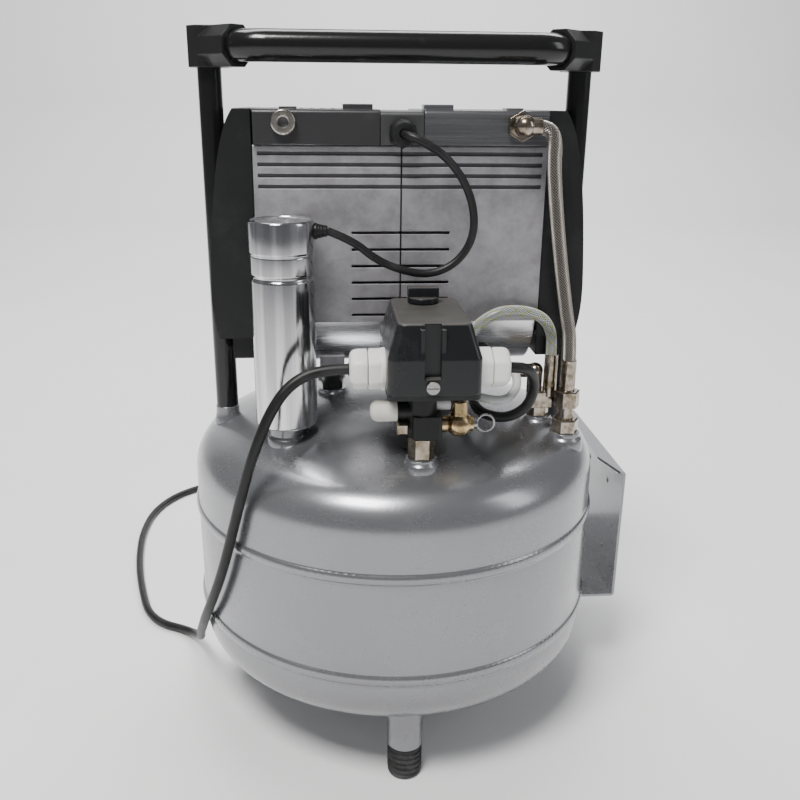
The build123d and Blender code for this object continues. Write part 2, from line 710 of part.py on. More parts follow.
for side, name in ((-1, "left"), (1, "right")):
    mid = side * head_mid_x
    with BuildPart() as head:
        with Locations((mid, motor_y, deck_z)):
            Box(head_w, head_depth, head_h, align=(Align.CENTER, Align.CENTER, Align.MIN))
        fillet(head.edges().filter_by(Axis.X).group_by(Axis.Z)[-1], 3.0)
        # low lugs along the front edge of the top
        for x, w, h in ((side * 26.0 - 2.5, 19.0, 3.2), (side * 73.0, 11.0, 1.4)):
            with Locations((x, head_front + 9, head_top - 0.5)):
                Box(w, 14, h + 0.5, align=(Align.CENTER, Align.CENTER, Align.MIN))
        # recess for the valve plate, chambers above it and cooling slots on top
        with Locations((mid, motor_y, deck_z)):
            Box(head_w - 9.6, 2 * half_depth - 11.6, plate_t + 0.2,
                align=(Align.CENTER, Align.CENTER, Align.MIN), mode=Mode.SUBTRACT)
        for dx in (-12, 12):
            with Locations((side * cylinder_x + dx, motor_y, deck_z)):
                Box(14, 46, 11, align=(Align.CENTER, Align.CENTER, Align.MIN), mode=Mode.SUBTRACT)
        with Locations((mid, motor_y + 4, head_top)):
            with GridLocations(7.5, 0, 8, 1):
                Box(3.2, 66, 12, mode=Mode.SUBTRACT)
        for dx, y in screw_spots:
            with Locations((mid + dx, y, head_top)):
                Cylinder(2.6, 60, mode=Mode.SUBTRACT)
                Cylinder(5.2, 12, mode=Mode.SUBTRACT)
        # threaded port in the front face
        port = port_plug if side < 0 else port_hose
        with Locations(Plane(origin=port, z_dir=(0, 1, 0))):
            Cylinder(port_r + fit, 22, mode=Mode.SUBTRACT)
    keep(head.part, "cylinder_head_" + name)

with BuildPart() as head_screws:
    for side in (-1, 1):
        for dx, y in screw_spots:
            with Locations((side * head_mid_x + dx, y, head_top - 6)):
                Cylinder(4.8, 5, align=(Align.CENTER, Align.CENTER, Align.MIN))
                Cylinder(2.5, head_h - 6, align=(Align.CENTER, Align.CENTER, Align.MAX))
            with Locations((side * head_mid_x + dx, y, head_top - 1)):
                Cylinder(2.2, 3, align=(Align.CENTER, Align.CENTER, Align.MAX), mode=Mode.SUBTRACT)

gland_mid_z = deck_z + 7.5
with BuildPart() as terminal_cover:
    with Locations((0, motor_y, deck_z)):
        Box(2 * cap_split_x - 0.6, head_depth, head_h - 1, align=(Align.CENTER, Align.CENTER, Align.MIN))
    fillet(terminal_cover.edges().filter_by(Axis.X).group_by(Axis.Z)[-1], 3.0)
    with Locations((0, motor_y, deck_z)):
        Box(2 * cap_split_x - 5.6, head_depth - 8, head_h - 4,
            align=(Align.CENTER, Align.CENTER, Align.MIN), mode=Mode.SUBTRACT)
    with Locations(Plane((0, head_front, gland_mid_z), z_dir=(0, 1, 0))):
        Cylinder(5 + fit, 16, mode=Mode.SUBTRACT)
keep(terminal_cover.part, "terminal_cover")

# ---- end covers with a foot block and a channel for the handle post ----
cover_in = half_w + cover_gap


def cover_outline(plane, inset):
    """Bowed outline of an end cover, measured outwards and upwards on the plane."""
    low = deck_z - 129.0 + inset
    high = head_top - inset
    with BuildSketch(plane) as outline:
        with BuildLine():
            Polyline((cover_in, low), (cover_in, high), (cover_in + 11.5 - inset, high))
            Spline(
                (cover_in + 11.5 - inset, high),
                (cover_in + 22.5 - inset, high - 31),
                (cover_bulge - inset, high - 100),
                (cover_in + 27.0 - inset, low),
                tangents=((1.0, -1.4), (-0.28, -1.0)),
            )
            Line((cover_in + 27.0 - inset, low), (cover_in, low))
        make_face()
    return outline.sketch


for side, name in ((-1, "left"), (1, "right")):
    # drawn on the back face; extruding runs towards the front
    drawn = Plane(origin=(0, back_y - 2, 0), x_dir=(side, 0, 0), z_dir=(0, -side, 0))
    depth = 2 * half_depth - 4
    with BuildPart() as cover:
        extrude(cover_outline(drawn, 0), amount=side * depth)
        extrude(cover_outline(drawn.offset(side * cover_wall), cover_wall),
                amount=side * (depth - 2 * cover_wall), mode=Mode.SUBTRACT)
        # foot block under the cover
        with Locations((side * (cover_in + 10.5), front_y + 26, deck_z - 131.0)):
            Box(17, 34, 28)
        # wall of the channel in which the handle post stands, then the room for the post
        with BuildSketch(Plane.XY.offset(deck_z - 129.0 + 1)) as wall:
            with Locations((side * post_x, 0)):
                Circle(post_channel_r + cover_wall)
        channel_wall = extrude(wall.sketch, amount=head_top - deck_z + 127, mode=Mode.PRIVATE)
        add(channel_wall & extrude(cover_outline(drawn, 0), amount=side * depth, mode=Mode.PRIVATE))
        with Locations((side * post_x, 0, deck_z - 55)):
            Cylinder(post_channel_r, 220, mode=Mode.SUBTRACT)
        # air slots in the outer wall
        for n in range(7):
            with Locations((side * cover_bulge, back_y - 26, deck_z - 105 + 11 * n)):
                Box(40, 26, 4, mode=Mode.SUBTRACT)
    keep(cover.part, "end_cover_" + name)

# ================= fittings on the heads =================
with BuildPart() as plug:
    face = Plane(origin=port_plug, z_dir=(0, -1, 0))
    with BuildSketch(face):
        Circle(8.0)
    extrude(amount=4.5)
    chamfer(plug.edges().group_by(Axis.Y)[0], 0.8)
    with BuildSketch(face):
        Circle(port_r)
    extrude(amount=-10)
    with BuildSketch(face.offset(4.5)):
        RegularPolygon(3, 6, major_radius=False)
    extrude(amount=-4, mode=Mode.SUBTRACT)
keep(plug.part, "head_plug")

elbow_y = head_front - 13.0
with BuildPart() as delivery_elbow:
    face = Plane(origin=port_hose, z_dir=(0, -1, 0))
    with BuildSketch(face):
        Circle(port_r)
    extrude(amount=-10)
    with BuildSketch(face.offset(0.2)):
        RegularPolygon(8.5, 6, major_radius=False)
    extrude(amount=7)
    with BuildSketch(face.offset(7)):
        Circle(6.5)
    extrude(amount=6)
    with Locations((port_hose[0], elbow_y, port_hose[2])):
        Sphere(7.0)
    with Locations(Plane((port_hose[0], elbow_y, port_hose[2]), z_dir=(1, 0, 0))):
        Cylinder(5.4, 10.5, align=(Align.CENTER, Align.CENTER, Align.MIN))
        Cylinder(delivery_d / 2 + fit, 12, align=(Align.CENTER, Align.CENTER, Align.MIN),
                 mode=Mode.SUBTRACT)
        Cylinder(delivery_d / 2 + fit, 5, align=(Align.CENTER, Align.CENTER, Align.MIN))
keep(delivery_elbow.part, "delivery_elbow")

with BuildPart() as motor_gland:
    face = Plane(origin=(0, head_front, gland_mid_z), z_dir=(0, -1, 0))
    with BuildSketch(face):
        Circle(5)
    extrude(amount=-8)
    with BuildSketch(face):
        RegularPolygon(8.2, 6, major_radius=False)
    extrude(amount=4)
    with BuildSketch(face.offset(4)):
        Circle(8.8)
    extrude(amount=8, taper=12)
    with BuildSketch(face.offset(12)):
        Circle(lead_d / 2 + fit)
    extrude(amount=-20, mode=Mode.SUBTRACT)
keep(motor_gland.part, "motor_gland")

# ================= capacitor =================
can_top = can_lift + can_h
with BuildPart() as can:
    with BuildSketch(Plane.XY.offset(can_lift)):
        with Locations((can_x, can_y)):
            Circle(can_r)
    extrude(amount=can_h)
    fillet(can.edges().group_by(Axis.Z)[0], 2.0)
    # rolled bead under the lid
    with Locations((can_x, can_y, can_top - 13)):
        Torus(can_r, 0.7, mode=Mode.SUBTRACT)
    with BuildSketch(Plane.XY.offset(can_lift + 1.5)):
        with Locations((can_x, can_y)):
            Circle(can_r - 1.0)
    extrude(amount=can_h, mode=Mode.SUBTRACT)
keep(can.part, "capacitor_can")

with BuildPart() as element:
    with BuildSketch(Plane.XY.offset(can_lift + 4)):
        with Locations((can_x, can_y)):
            Circle(can_r - 3.0)
            Circle(4.0, mode=Mode.SUBTRACT)
    extrude(amount=can_h - 12)
keep(element.part, "capacitor_element")

boot_z = can_top + can_cap_h - 7.5
boot_out = can_x + can_cap_r + 8.5
with BuildPart() as can_cap:
    with BuildSketch(Plane.XY.offset(can_top)):
        with Locations((can_x, can_y)):
            Circle(can_cap_r)
    extrude(amount=can_cap_h)
    fillet(can_cap.edges().group_by(Axis.Z)[-1], 1.8)
    with Locations((can_x, can_y, can_top)):
        Cylinder(can_cap_r - 1.5, can_cap_h - 1.5, align=(Align.CENTER, Align.CENTER, Align.MIN),
                 mode=Mode.SUBTRACT)
    # boot where the lead enters
    with Locations(Plane((can_x + can_cap_r - 1, can_y, boot_z), z_dir=(1, 0, 0))):
        Cone(5.0, 3.6, boot_out - can_x - can_cap_r + 1,
             align=(Align.CENTER, Align.CENTER, Align.MIN))
keep(can_cap.part, "capacitor_cap")

lead_start_y = head_front - 12.0
lead_route = [
    (0, lead_start_y + 6, gland_mid_z),
    (0, lead_start_y - 5, gland_mid_z),
    (9, lead_start_y - 10, gland_mid_z - 3),
    (25, lead_start_y - 8, gland_mid_z - 12),
    (38, lead_start_y - 6, gland_mid_z - 27),
    (46, lead_start_y - 4, gland_mid_z - 46),
    (46, lead_start_y - 3, gland_mid_z - 66),
    (35, lead_start_y - 3, gland_mid_z - 82),
    (17, lead_start_y - 4, gland_mid_z - 89),
    (-2, lead_start_y - 6, gland_mid_z - 85),
    (-18, lead_start_y - 7, gland_mid_z - 78),
    (-33, can_y, boot_z - 6),
    (boot_out, can_y, boot_z),
]
keep(tube("capacitor_lead", lead_route, lead_d), "capacitor_lead")

# ================= pressure switch =================
switch_y = switch_front + switch_depth / 2
switch_top = switch_z + switch_h
loft_from = switch_z + base_t + cover_straight
with BuildPart() as switch_base:
    with Locations((switch_x, switch_y, switch_z)):
        Box(switch_w, switch_depth, base_t, align=(Align.CENTER, Align.CENTER, Align.MIN))
    fillet(switch_base.edges().filter_by(Axis.Z), 5)
    with Locations((port_x, port_y, switch_z)):
        Cylinder(17, 5, align=(Align.CENTER, Align.CENTER, Align.MAX))
        Cylinder(6, 30, mode=Mode.SUBTRACT)
keep(switch_base.part, "switch_base")


def switch_shell(grow):
    """Outside of the switch cover, or its inside when grow is negative."""
    top_w = switch_w - 13 + 2 * grow
    top_d = switch_depth - 8 + 2 * grow
    with BuildPart() as shell:
        with BuildSketch(Plane.XY.offset(switch_z + base_t)):
            with Locations((switch_x, switch_y)):
                RectangleRounded(switch_w + 2 * grow, switch_depth + 2 * grow, 5 + grow)
        extrude(amount=cover_straight)
        with BuildSketch(Plane.XY.offset(loft_from)):
            with Locations((switch_x, switch_y)):
                RectangleRounded(switch_w + 2 * grow, switch_depth + 2 * grow, 5 + grow)
        with BuildSketch(Plane.XY.offset(switch_top + grow)):
            with Locations((switch_x, switch_y + 1)):
                RectangleRounded(top_w, top_d, 5 + grow)
        loft()
    return shell.part


knob_x = 12.0
knob_y = -76.0
channel_x = 12.0
gland_plane = {side: Plane((switch_x + side * switch_w / 2, gland_y, gland_z), z_dir=(side, 0, 0))
               for side in (-1, 1)}
with BuildPart() as switch_cover:
    add(switch_shell(0))
    fillet(switch_cover.faces().sort_by(Axis.Z)[-1].edges(), 1.8)
    add(switch_shell(-cover_t), mode=Mode.SUBTRACT)
    # a deep channel down the front leads to the cover screw
    with Locations((channel_x, switch_front + 1.0, switch_z + base_t + 8)):
        Box(15, 8, 32, align=(Align.CENTER, Align.MIN, Align.MIN))
    with Locations((channel_x, switch_front - 1, switch_z + base_t + 10)):
        Box(10, 7, 40, align=(Align.CENTER, Align.MIN, Align.MIN), mode=Mode.SUBTRACT)
    with Locations((channel_x, switch_front + 2, switch_z + base_t + 5.5)):
        Cylinder(2.2, 12, rotation=(90, 0, 0), mode=Mode.SUBTRACT)
    for side in (-1, 1):
        with Locations(gland_plane[side]):
            Cylinder(7 + fit, 12, mode=Mode.SUBTRACT)
    with Locations((knob_x, knob_y, switch_top)):
        Cylinder(4 + running, 12, mode=Mode.SUBTRACT)
keep(switch_cover.part, "switch_cover")

with BuildPart() as screws:
    add(head_screws.part)
    with Locations(Plane((channel_x, switch_front - 0.2, switch_z + base_t + 5.5), z_dir=(0, -1, 0))):
        Cylinder(4, 2, align=(Align.CENTER, Align.CENTER, Align.MIN))
        Cylinder(2.1, 9, align=(Align.CENTER, Align.CENTER, Align.MAX))
    with Locations((channel_x, switch_front - 2.2, switch_z + base_t + 5.5)):
        Box(7, 1.6, 1, mode=Mode.SUBTRACT)
keep(screws.part, "screws")

with BuildPart() as knob:
    with Locations((knob_x, knob_y, switch_top + 0.4)):
        Cylinder(10, 3.5, align=(Align.CENTER, Align.CENTER, Align.MIN))
        Cylinder(4, 8, align=(Align.CENTER, Align.CENTER, Align.MAX))
    with Locations((knob_x, knob_y, switch_top + 3.9)):
        Box(20, 7, 6.5, align=(Align.CENTER, Align.CENTER, Align.MIN))
    fillet(knob.edges().group_by(Axis.Z)[-1], 1.0)
keep(knob.part, "switch_knob")

# contact block and range spring inside
with BuildPart() as contacts:
    with Locations((switch_x, -98, switch_z + base_t)):
        Box(34, 26, 14, align=(Align.CENTER, Align.CENTER, Align.MIN))
        Box(35, 3, 5, mode=Mode.SUBTRACT)
    with Locations((port_x, port_y - 12, switch_z + base_t)):
        Cylinder(6, 24, align=(Align.CENTER, Align.CENTER, Align.MIN))
keep(contacts.part, "switch_contacts")

gland_len = 22.0
# the right-hand gland is bored for the motor's cable; the left one ends at the cord
for side, name in ((-1, "left"), (1, "right")):
    face = gland_plane[side]
    with BuildPart() as gland:
        with BuildSketch(face):
            Circle(gland_r - 0.5)
        extrude(amount=5)
        with BuildSketch(face):
            Circle(7)
        extrude(amount=-8)
        with BuildSketch(face.offset(5)):
            RegularPolygon(gland_r - 1.2, 6, major_radius=False)
        extrude(amount=6)
        with BuildSketch(face.offset(11)):
            Circle(gland_r - 1.4)
        extrude(amount=gland_len - 11)
        fillet(gland.faces().sort_by(Axis.X)[0 if side < 0 else -1].edges(), 4.0)
        if side > 0:
            with BuildSketch(face.offset(gland_len)):
                Circle(cable_d / 2 + fit)
            extrude(amount=-gland_len - 8, mode=Mode.SUBTRACT)
    keep(gland.part, "gland_" + name)
gland_mouth = {side: switch_x + side * (switch_w / 2 + gland_len) for side in (-1, 1)}

# ================= air fittings under the switch =================
nipple_top = port_z + 14.5
with BuildPart() as nipple:
    with Locations((port_x, port_y, port_z)):
        Cylinder(thread_r - fit, 9, align=(Align.CENTER, Align.CENTER, Align.MAX))
    with BuildSketch(Plane((port_x, port_y, port_z))):
        RegularPolygon(7.5, 6, major_radius=False)
    extrude(amount=nipple_top - port_z)
    chamfer(nipple.faces().sort_by(Axis.Z)[-1].edges(), 0.8)
    with Locations((port_x, port_y, nipple_top)):
        Cylinder(5, 8, align=(Align.CENTER, Align.CENTER, Align.MIN))
    with Locations((port_x, port_y, port_z)):
        Cylinder(2.5, 80, mode=Mode.SUBTRACT)
keep(nipple.part, "port_nipple")

block_half = 9.5
block_top = switch_z - 5.0
cross_z = nipple_top + 8.0
silencer_z = block_top - 11.0
plug_z = nipple_top + 6.0
with BuildPart() as manifold:
    with Locations((port_x + 3, port_y, nipple_top + 0.2)):
        Box(2 * block_half, 2 * block_half, block_top - nipple_top - 13,
            align=(Align.CENTER, Align.CENTER, Align.MIN))
    fillet(manifold.edges().filter_by(Axis.Z), 3)
    with Locations((port_x, port_y, nipple_top + 0.2)):
        Cylinder(9, block_top - nipple_top - 0.4, align=(Align.CENTER, Align.CENTER, Align.MIN))
    with Locations((port_x, port_y, block_top - 0.2)):
        Cylinder(6 - fit, 6, align=(Align.CENTER, Align.CENTER, Align.MIN))
    with Locations((port_x, port_y, nipple_top)):
        Cylinder(5 + fit, 8.3, align=(Align.CENTER, Align.CENTER, Align.MIN), mode=Mode.SUBTRACT)
    # branches: silencer and plug on the left, safety valve on the right, outlet at the back
    with Locations(Plane((port_x - 5.2, port_y, plug_z), z_dir=(-1, 0, 0))):
        Cylinder(5.6, 4.3, align=(Align.CENTER, Align.CENTER, Align.MIN))
    with Locations(Plane((port_x, port_y, silencer_z), z_dir=(-1, 0, 0))):
        Cylinder(5.8, 16, align=(Align.CENTER, Align.CENTER, Align.MIN))
    with Locations(Plane((port_x + 3 + block_half, port_y, cross_z), z_dir=(-1, 0, 0))):
        Cylinder(4.5 + fit, 7, align=(Align.CENTER, Align.CENTER, Align.MIN), mode=Mode.SUBTRACT)
    with Locations(Plane((port_x + 3, port_y + block_half, cross_z), z_dir=(0, -1, 0))):
        Cylinder(4.5 + fit, 4.5, align=(Align.CENTER, Align.CENTER, Align.MIN), mode=Mode.SUBTRACT)
keep(manifold.part, "port_manifold")

silencer_x = port_x - 16.0
with BuildPart() as silencer:
    with BuildSketch(Plane((silencer_x, port_y, silencer_z), z_dir=(-1, 0, 0))):
        Circle(7.0)
    extrude(amount=17)
    fillet(silencer.faces().sort_by(Axis.X)[0].edges(), 5.0)
keep(silencer.part, "silencer")

with BuildPart() as side_plug:
    with BuildSketch(Plane((port_x - 9.5, port_y, plug_z), z_dir=(-1, 0, 0))):
        RegularPolygon(4.9, 6, major_radius=False)
    extrude(amount=6.5)
    chamfer(side_plug.faces().sort_by(Axis.X)[0].edges(), 1.0)
keep(side_plug.part, "side_plug")

# ---- safety valve: ring, ball-shaped body with a vertical outlet, pull stem ----
valve_x = port_x + 3 + block_half
valve_reach = 19.0
with BuildPart() as safety_valve:
    stem_face = Plane((valve_x, port_y, cross_z), z_dir=(1, 0, 0))
    with Locations(stem_face):
        Cylinder(4.5, 6, align=(Align.CENTER, Align.CENTER, Align.MAX))
    with BuildSketch(stem_face):
        Circle(5.5)
    extrude(amount=4)
    with Locations((valve_x + 11.5, port_y, cross_z)):
        Sphere(8.5)
    with Locations((valve_x + 11.5, port_y, cross_z)):
        Cone(6.5, 4.6, 15, align=(Align.CENTER, Align.CENTER, Align.MIN))
    with Locations(Plane((valve_x + 11.5, port_y, cross_z), z_dir=(1, 0, 0))):
        Cylinder(5, 8.9, align=(Align.CENTER, Align.CENTER, Align.MIN))
        Cylinder(1.8 + running, 10, align=(Align.CENTER, Align.CENTER, Align.MIN), mode=Mode.SUBTRACT)
keep(safety_valve.part, "safety_valve")

pull_x = valve_x + 11.5 + 8.9
with BuildPart() as safety_pull:
    with Locations(Plane((pull_x - 8, port_y, cross_z), z_dir=(1, 0, 0))):
        Cylinder(1.8, 11, align=(Align.CENTER, Align.CENTER, Align.MIN))
    with Locations(Plane((pull_x + 0.4, port_y, cross_z), z_dir=(1, 0, 0))):
        Cylinder(3.4, 2.2, align=(Align.CENTER, Align.CENTER, Align.MIN))
    with Locations(Plane((pull_x + 8.2, port_y, cross_z), z_dir=(0, 1, 0))):
        Torus(5.6, 0.8)
keep(safety_pull.part, "safety_pull")

# grey push-in elbow for the signal tube
signal_x = port_x + 14.0
signal_y = port_y + 2.0
signal_z = block_top - 7.5
signal_r = 4.2
with BuildPart() as signal_elbow:
    with Locations(Plane((port_x + 9.2, signal_y, signal_z), z_dir=(1, 0, 0))):
        Cylinder(signal_r, signal_x - port_x - 5, align=(Align.CENTER, Align.CENTER, Align.MIN))
    with Locations(Plane((signal_x, signal_y, signal_z), z_dir=(0, 1, 0))):
        Cylinder(signal_r, 10, align=(Align.CENTER, Align.CENTER, Align.MIN))
    with Locations(Plane((signal_x, signal_y + 10, signal_z), z_dir=(0, -1, 0))):
        Cylinder(signal_d / 2 + fit, 5, align=(Align.CENTER, Align.CENTER, Align.MIN),
                 mode=Mode.SUBTRACT)
keep(signal_elbow.part, "signal_elbow")

# ================= hoses =================
def ferrule(x, y, low, high, r, bore_d, seat):
    """Upright sleeve with a bore for a hose that stands on a seat."""
    with BuildPart() as sleeve:
        with Locations((x, y, low)):
            Cylinder(r, high - low, align=(Align.CENTER, Align.CENTER, Align.MIN))
        with Locations((x, y, seat)):
            Cylinder(bore_d / 2 + fit, high - seat, align=(Align.CENTER, Align.CENTER, Align.MIN),
                     mode=Mode.SUBTRACT)
    return sleeve.part


# ---- check valve on the receiver with the union nut of the delivery hose ----
with BuildPart() as check_valve:
    with Locations((check_x, check_y, check_z)):
        Cylinder(thread_r - fit, 8, align=(Align.CENTER, Align.CENTER, Align.MAX))
    with BuildSketch(Plane((check_x, check_y, check_z))):
        RegularPolygon(8.5, 6, major_radius=False)
    extrude(amount=10)
    chamfer(check_valve.faces().sort_by(Axis.Z)[-1].edges(), 1.0)
    with Locations((check_x, check_y, check_z + 10)):
        Cylinder(5.5, 9, align=(Align.CENTER, Align.CENTER, Align.MIN))
keep(check_valve.part, "check_valve")

nut_z = check_z + 19.0
delivery_end = nut_z + 34.0
with BuildPart() as union_nut:
    with BuildSketch(Plane((check_x, check_y, nut_z))):
        RegularPolygon(8, 6, major_radius=False)
    extrude(amount=12)
    chamfer(union_nut.edges().group_by(Axis.Z)[-1], 0.8)
    add(ferrule(check_x, check_y, nut_z + 12, delivery_end, 5.2, delivery_d, nut_z + 18))
keep(union_nut.part, "union_nut")

delivery_route = [
    (port_hose[0] + 5, elbow_y, port_hose[2]),
    (port_hose[0] + 15, elbow_y, port_hose[2]),
    (port_hose[0] + 20.5, elbow_y + 1, port_hose[2] - 7.5),
    (port_hose[0] + 21, elbow_y + 3, port_hose[2] - 28),
    (port_hose[0] + 29, elbow_y + 6, port_hose[2] - 79),
    (port_hose[0] + 38, elbow_y + 8, port_hose[2] - 126),
    (check_x, check_y, delivery_end + 13.5),
    (check_x, check_y, nut_z + 18),
]
keep(tube("delivery_hose", delivery_route, delivery_d), "delivery_hose")

# ---- outlet tee: hose to the switch and thin tube to the unloader ----
tee_x = 109.5
tee_y = -38.5
tee_top = tee_z + 20.0
arm_z = tee_top + 14.0
arm_x = 99.0
with BuildPart() as outlet_tee:
    with Locations((outlet_x, outlet_y, tee_z)):
        Cylinder(thread_r - fit, 8, align=(Align.CENTER, Align.CENTER, Align.MAX))
    with BuildSketch(Plane((outlet_x, outlet_y, tee_z))):
        RegularPolygon(7, 6, major_radius=False)
    extrude(amount=8)
    with Locations((outlet_x, outlet_y - 2, tee_z + 7.5)):
        Box(16, 14, 12.5, align=(Align.CENTER, Align.CENTER, Align.MIN))
    fillet(outlet_tee.edges().group_by(Axis.Z)[-1], 1.5)
    # riser and elbow for the thin tube
    with Locations((arm_x, outlet_y - 2, tee_top - 2)):
        Cylinder(5.5, 16, align=(Align.CENTER, Align.CENTER, Align.MIN))
    with Locations((arm_x, outlet_y - 2, arm_z)):
        Sphere(5.8)
    with Locations(Plane((arm_x, outlet_y - 2, arm_z), z_dir=(-1, 0, 0))):
        Cylinder(5, 14, align=(Align.CENTER, Align.CENTER, Align.MIN))
    with Locations(Plane((arm_x - 14, outlet_y - 2, arm_z), z_dir=(1, 0, 0))):
        Cylinder(signal_d / 2 + fit, 6, align=(Align.CENTER, Align.CENTER, Align.MIN),
                 mode=Mode.SUBTRACT)
    add(ferrule(tee_x, tee_y, tee_top - 4, tee_top + 27, 4.8, outlet_d, tee_top + 5))
keep(outlet_tee.part, "outlet_tee")

# ---- tail of the outlet hose in the back of the manifold ----
tail_y = port_y + block_half
with BuildPart() as hose_tail:
    with Locations(Plane((port_x + 3, tail_y, cross_z), z_dir=(0, 1, 0))):
        Cylinder(4.5, 4, align=(Align.CENTER, Align.CENTER, Align.MAX))
    with BuildSketch(Plane((port_x + 3, tail_y, cross_z), z_dir=(0, 1, 0))):
        RegularPolygon(6, 6, major_radius=False)
    extrude(amount=5)
    with Locations(Plane((port_x + 3, tail_y + 5, cross_z), z_dir=(0, 1, 0))):
        Cylinder(4.8, 12, align=(Align.CENTER, Align.CENTER, Align.MIN))
    with Locations(Plane((port_x + 3, tail_y + 17, cross_z), z_dir=(0, -1, 0))):
        Cylinder(outlet_d / 2 + fit, 10, align=(Align.CENTER, Align.CENTER, Align.MIN),
                 mode=Mode.SUBTRACT)
keep(hose_tail.part, "hose_tail")

outlet_route = [
    (tee_x, tee_y, tee_top + 5),
    (tee_x, tee_y, tee_top + 35),
    (tee_x - 4, tee_y - 6, tee_top + 48),
    (97, -50, tee_top + 58),
    (82, -51, tee_top + 62),
    (67, -51, tee_top + 61),
    (54, -51, tee_top + 53),
    (44, -51, tee_top + 40),
    (36, -52, tee_top + 26),
    (27, -57, tee_top + 13),
    (18, -65, cross_z + 2),
    (port_x + 3, -75, cross_z),
    (port_x + 3, tail_y + 7, cross_z),
]
keep(tube("outlet_hose", outlet_route, outlet_d), "outlet_hose")

signal_route = [
    (signal_x, signal_y + 5, signal_z),
    (signal_x, signal_y + 17, signal_z),
    (signal_x + 7, port_y + 25, signal_z - 0.5),
    (45, port_y + 24, signal_z - 2),
    (58, port_y + 20, signal_z - 5),
    (69, port_y + 22, signal_z - 5),
    (77, port_y + 31, signal_z + 1),
    (78, port_y + 44, signal_z + 7),
    (75, port_y + 57, signal_z + 7),
    (75, -44, signal_z + 2),
    (79, outlet_y - 2, arm_z),
    (arm_x - 8, outlet_y - 2, arm_z),
]
keep(tube("signal_tube", signal_route, signal_d), "signal_tube")

# ---- motor cable from the right gland to the grommet in the barrel ----
grommet_in = grommet_plane.origin + grommet_plane.z_dir * -9
grommet_out = grommet_plane.origin + grommet_plane.z_dir * 8
cable_route = [
    (44, gland_y, gland_z),
    (gland_mouth[1] + 4, gland_y, gland_z),
    (gland_mouth[1] + 14, gland_y + 5, gland_z - 3),
    (gland_mouth[1] + 21, gland_y + 15, gland_z - 14),
    (gland_mouth[1] + 21, gland_y + 20, gland_z - 28),
    (gland_mouth[1] + 15, gland_y + 22, gland_z - 38),
    (gland_mouth[1] + 3, gland_y + 23, gland_z - 43),
    (53, gland_y + 28, gland_z - 41),
    (49, -64, gland_z - 38),
    (53, -47, gland_z - 33),
    (grommet_out.X, grommet_out.Y, grommet_out.Z),
    (grommet_in.X, grommet_in.Y, grommet_in.Z),
]
with BuildPart() as motor_cable:
    add(tube("motor_cable", cable_route, cable_d))
    with Locations(grommet_plane.offset(-6)):
        Cylinder(grommet_r, 6.5, align=(Align.CENTER, Align.CENTER, Align.MIN))
    with Locations(grommet_plane.offset(0.4)):
        Cylinder(grommet_r + 2, 2.5, align=(Align.CENTER, Align.CENTER, Align.MIN))
keep(motor_cable.part, "motor_cable")

# ================= free power cord =================
# from the left gland down past the receiver, over the floor behind it to the coil
cord_route = [
    (gland_mouth[-1], gland_y, gland_z),
    (gland_mouth[-1] - 19, gland_y, gland_z),
    (gland_mouth[-1] - 37, gland_y - 4.5, gland_z - 8),
    (-86, -116, 273),
    (-96, -118, 250),
    (-105, -115, 222),
    (-114, -107, 188),
    (-124, -96, 151),
    (-134, -82, 121),
    (-143, -63, 95),
    (-150, -37, 70),
    (-157, -8, 45),
    (-161, 20, 23),
    (-169, 46, 8),
    (-184, 62, floor_z),
    (-205, 72, floor_z),
    (-221, 92, floor_z),
    (-231, 122, floor_z),
    (-242, 161, floor_z),
    (-251, 205, floor_z),
    (-257, 256, floor_z),
    (-254, 308, floor_z),
    (-235, 350, floor_z),
    (-200, 378, floor_z),
    (-158, 388, floor_z),
    (-116, 383, floor_z),
    (-66, 364, floor_z),
]
keep(tube("power_cord", cord_route, cable_d), "power_cord")

with BuildPart() as coil:
    with Locations((coil_x, coil_y, coil_section_r + 0.1)):
        Torus(coil_r, coil_section_r)
keep(coil.part, "cord_coil")

# plug on the end of the cord, lying on the floor beside the coil
plug_r = 16.0
plug_start = coil_x + 20.0
plug_y = coil_y + 42.0
with BuildPart() as mains_plug:
    lying = Plane((plug_start, plug_y, plug_r + 0.1), z_dir=(1, 0, 0))
    with Locations(lying):
        Cone(4.0, 6.5, 21, align=(Align.CENTER, Align.CENTER, Align.MIN))
    with BuildSketch(lying.offset(20)):
        Circle(plug_r)
    extrude(amount=36)
    fillet(mains_plug.faces().sort_by(Axis.X)[-1].edges(), 2.0)
    with Locations(lying.offset(55)):
        with GridLocations(0, 19, 1, 2):
            Cylinder(2.2, 19, align=(Align.CENTER, Align.CENTER, Align.MIN))
keep(mains_plug.part, "mains_plug")
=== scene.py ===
import math

import bpy
import numpy as np
from mathutils import Matrix, Vector


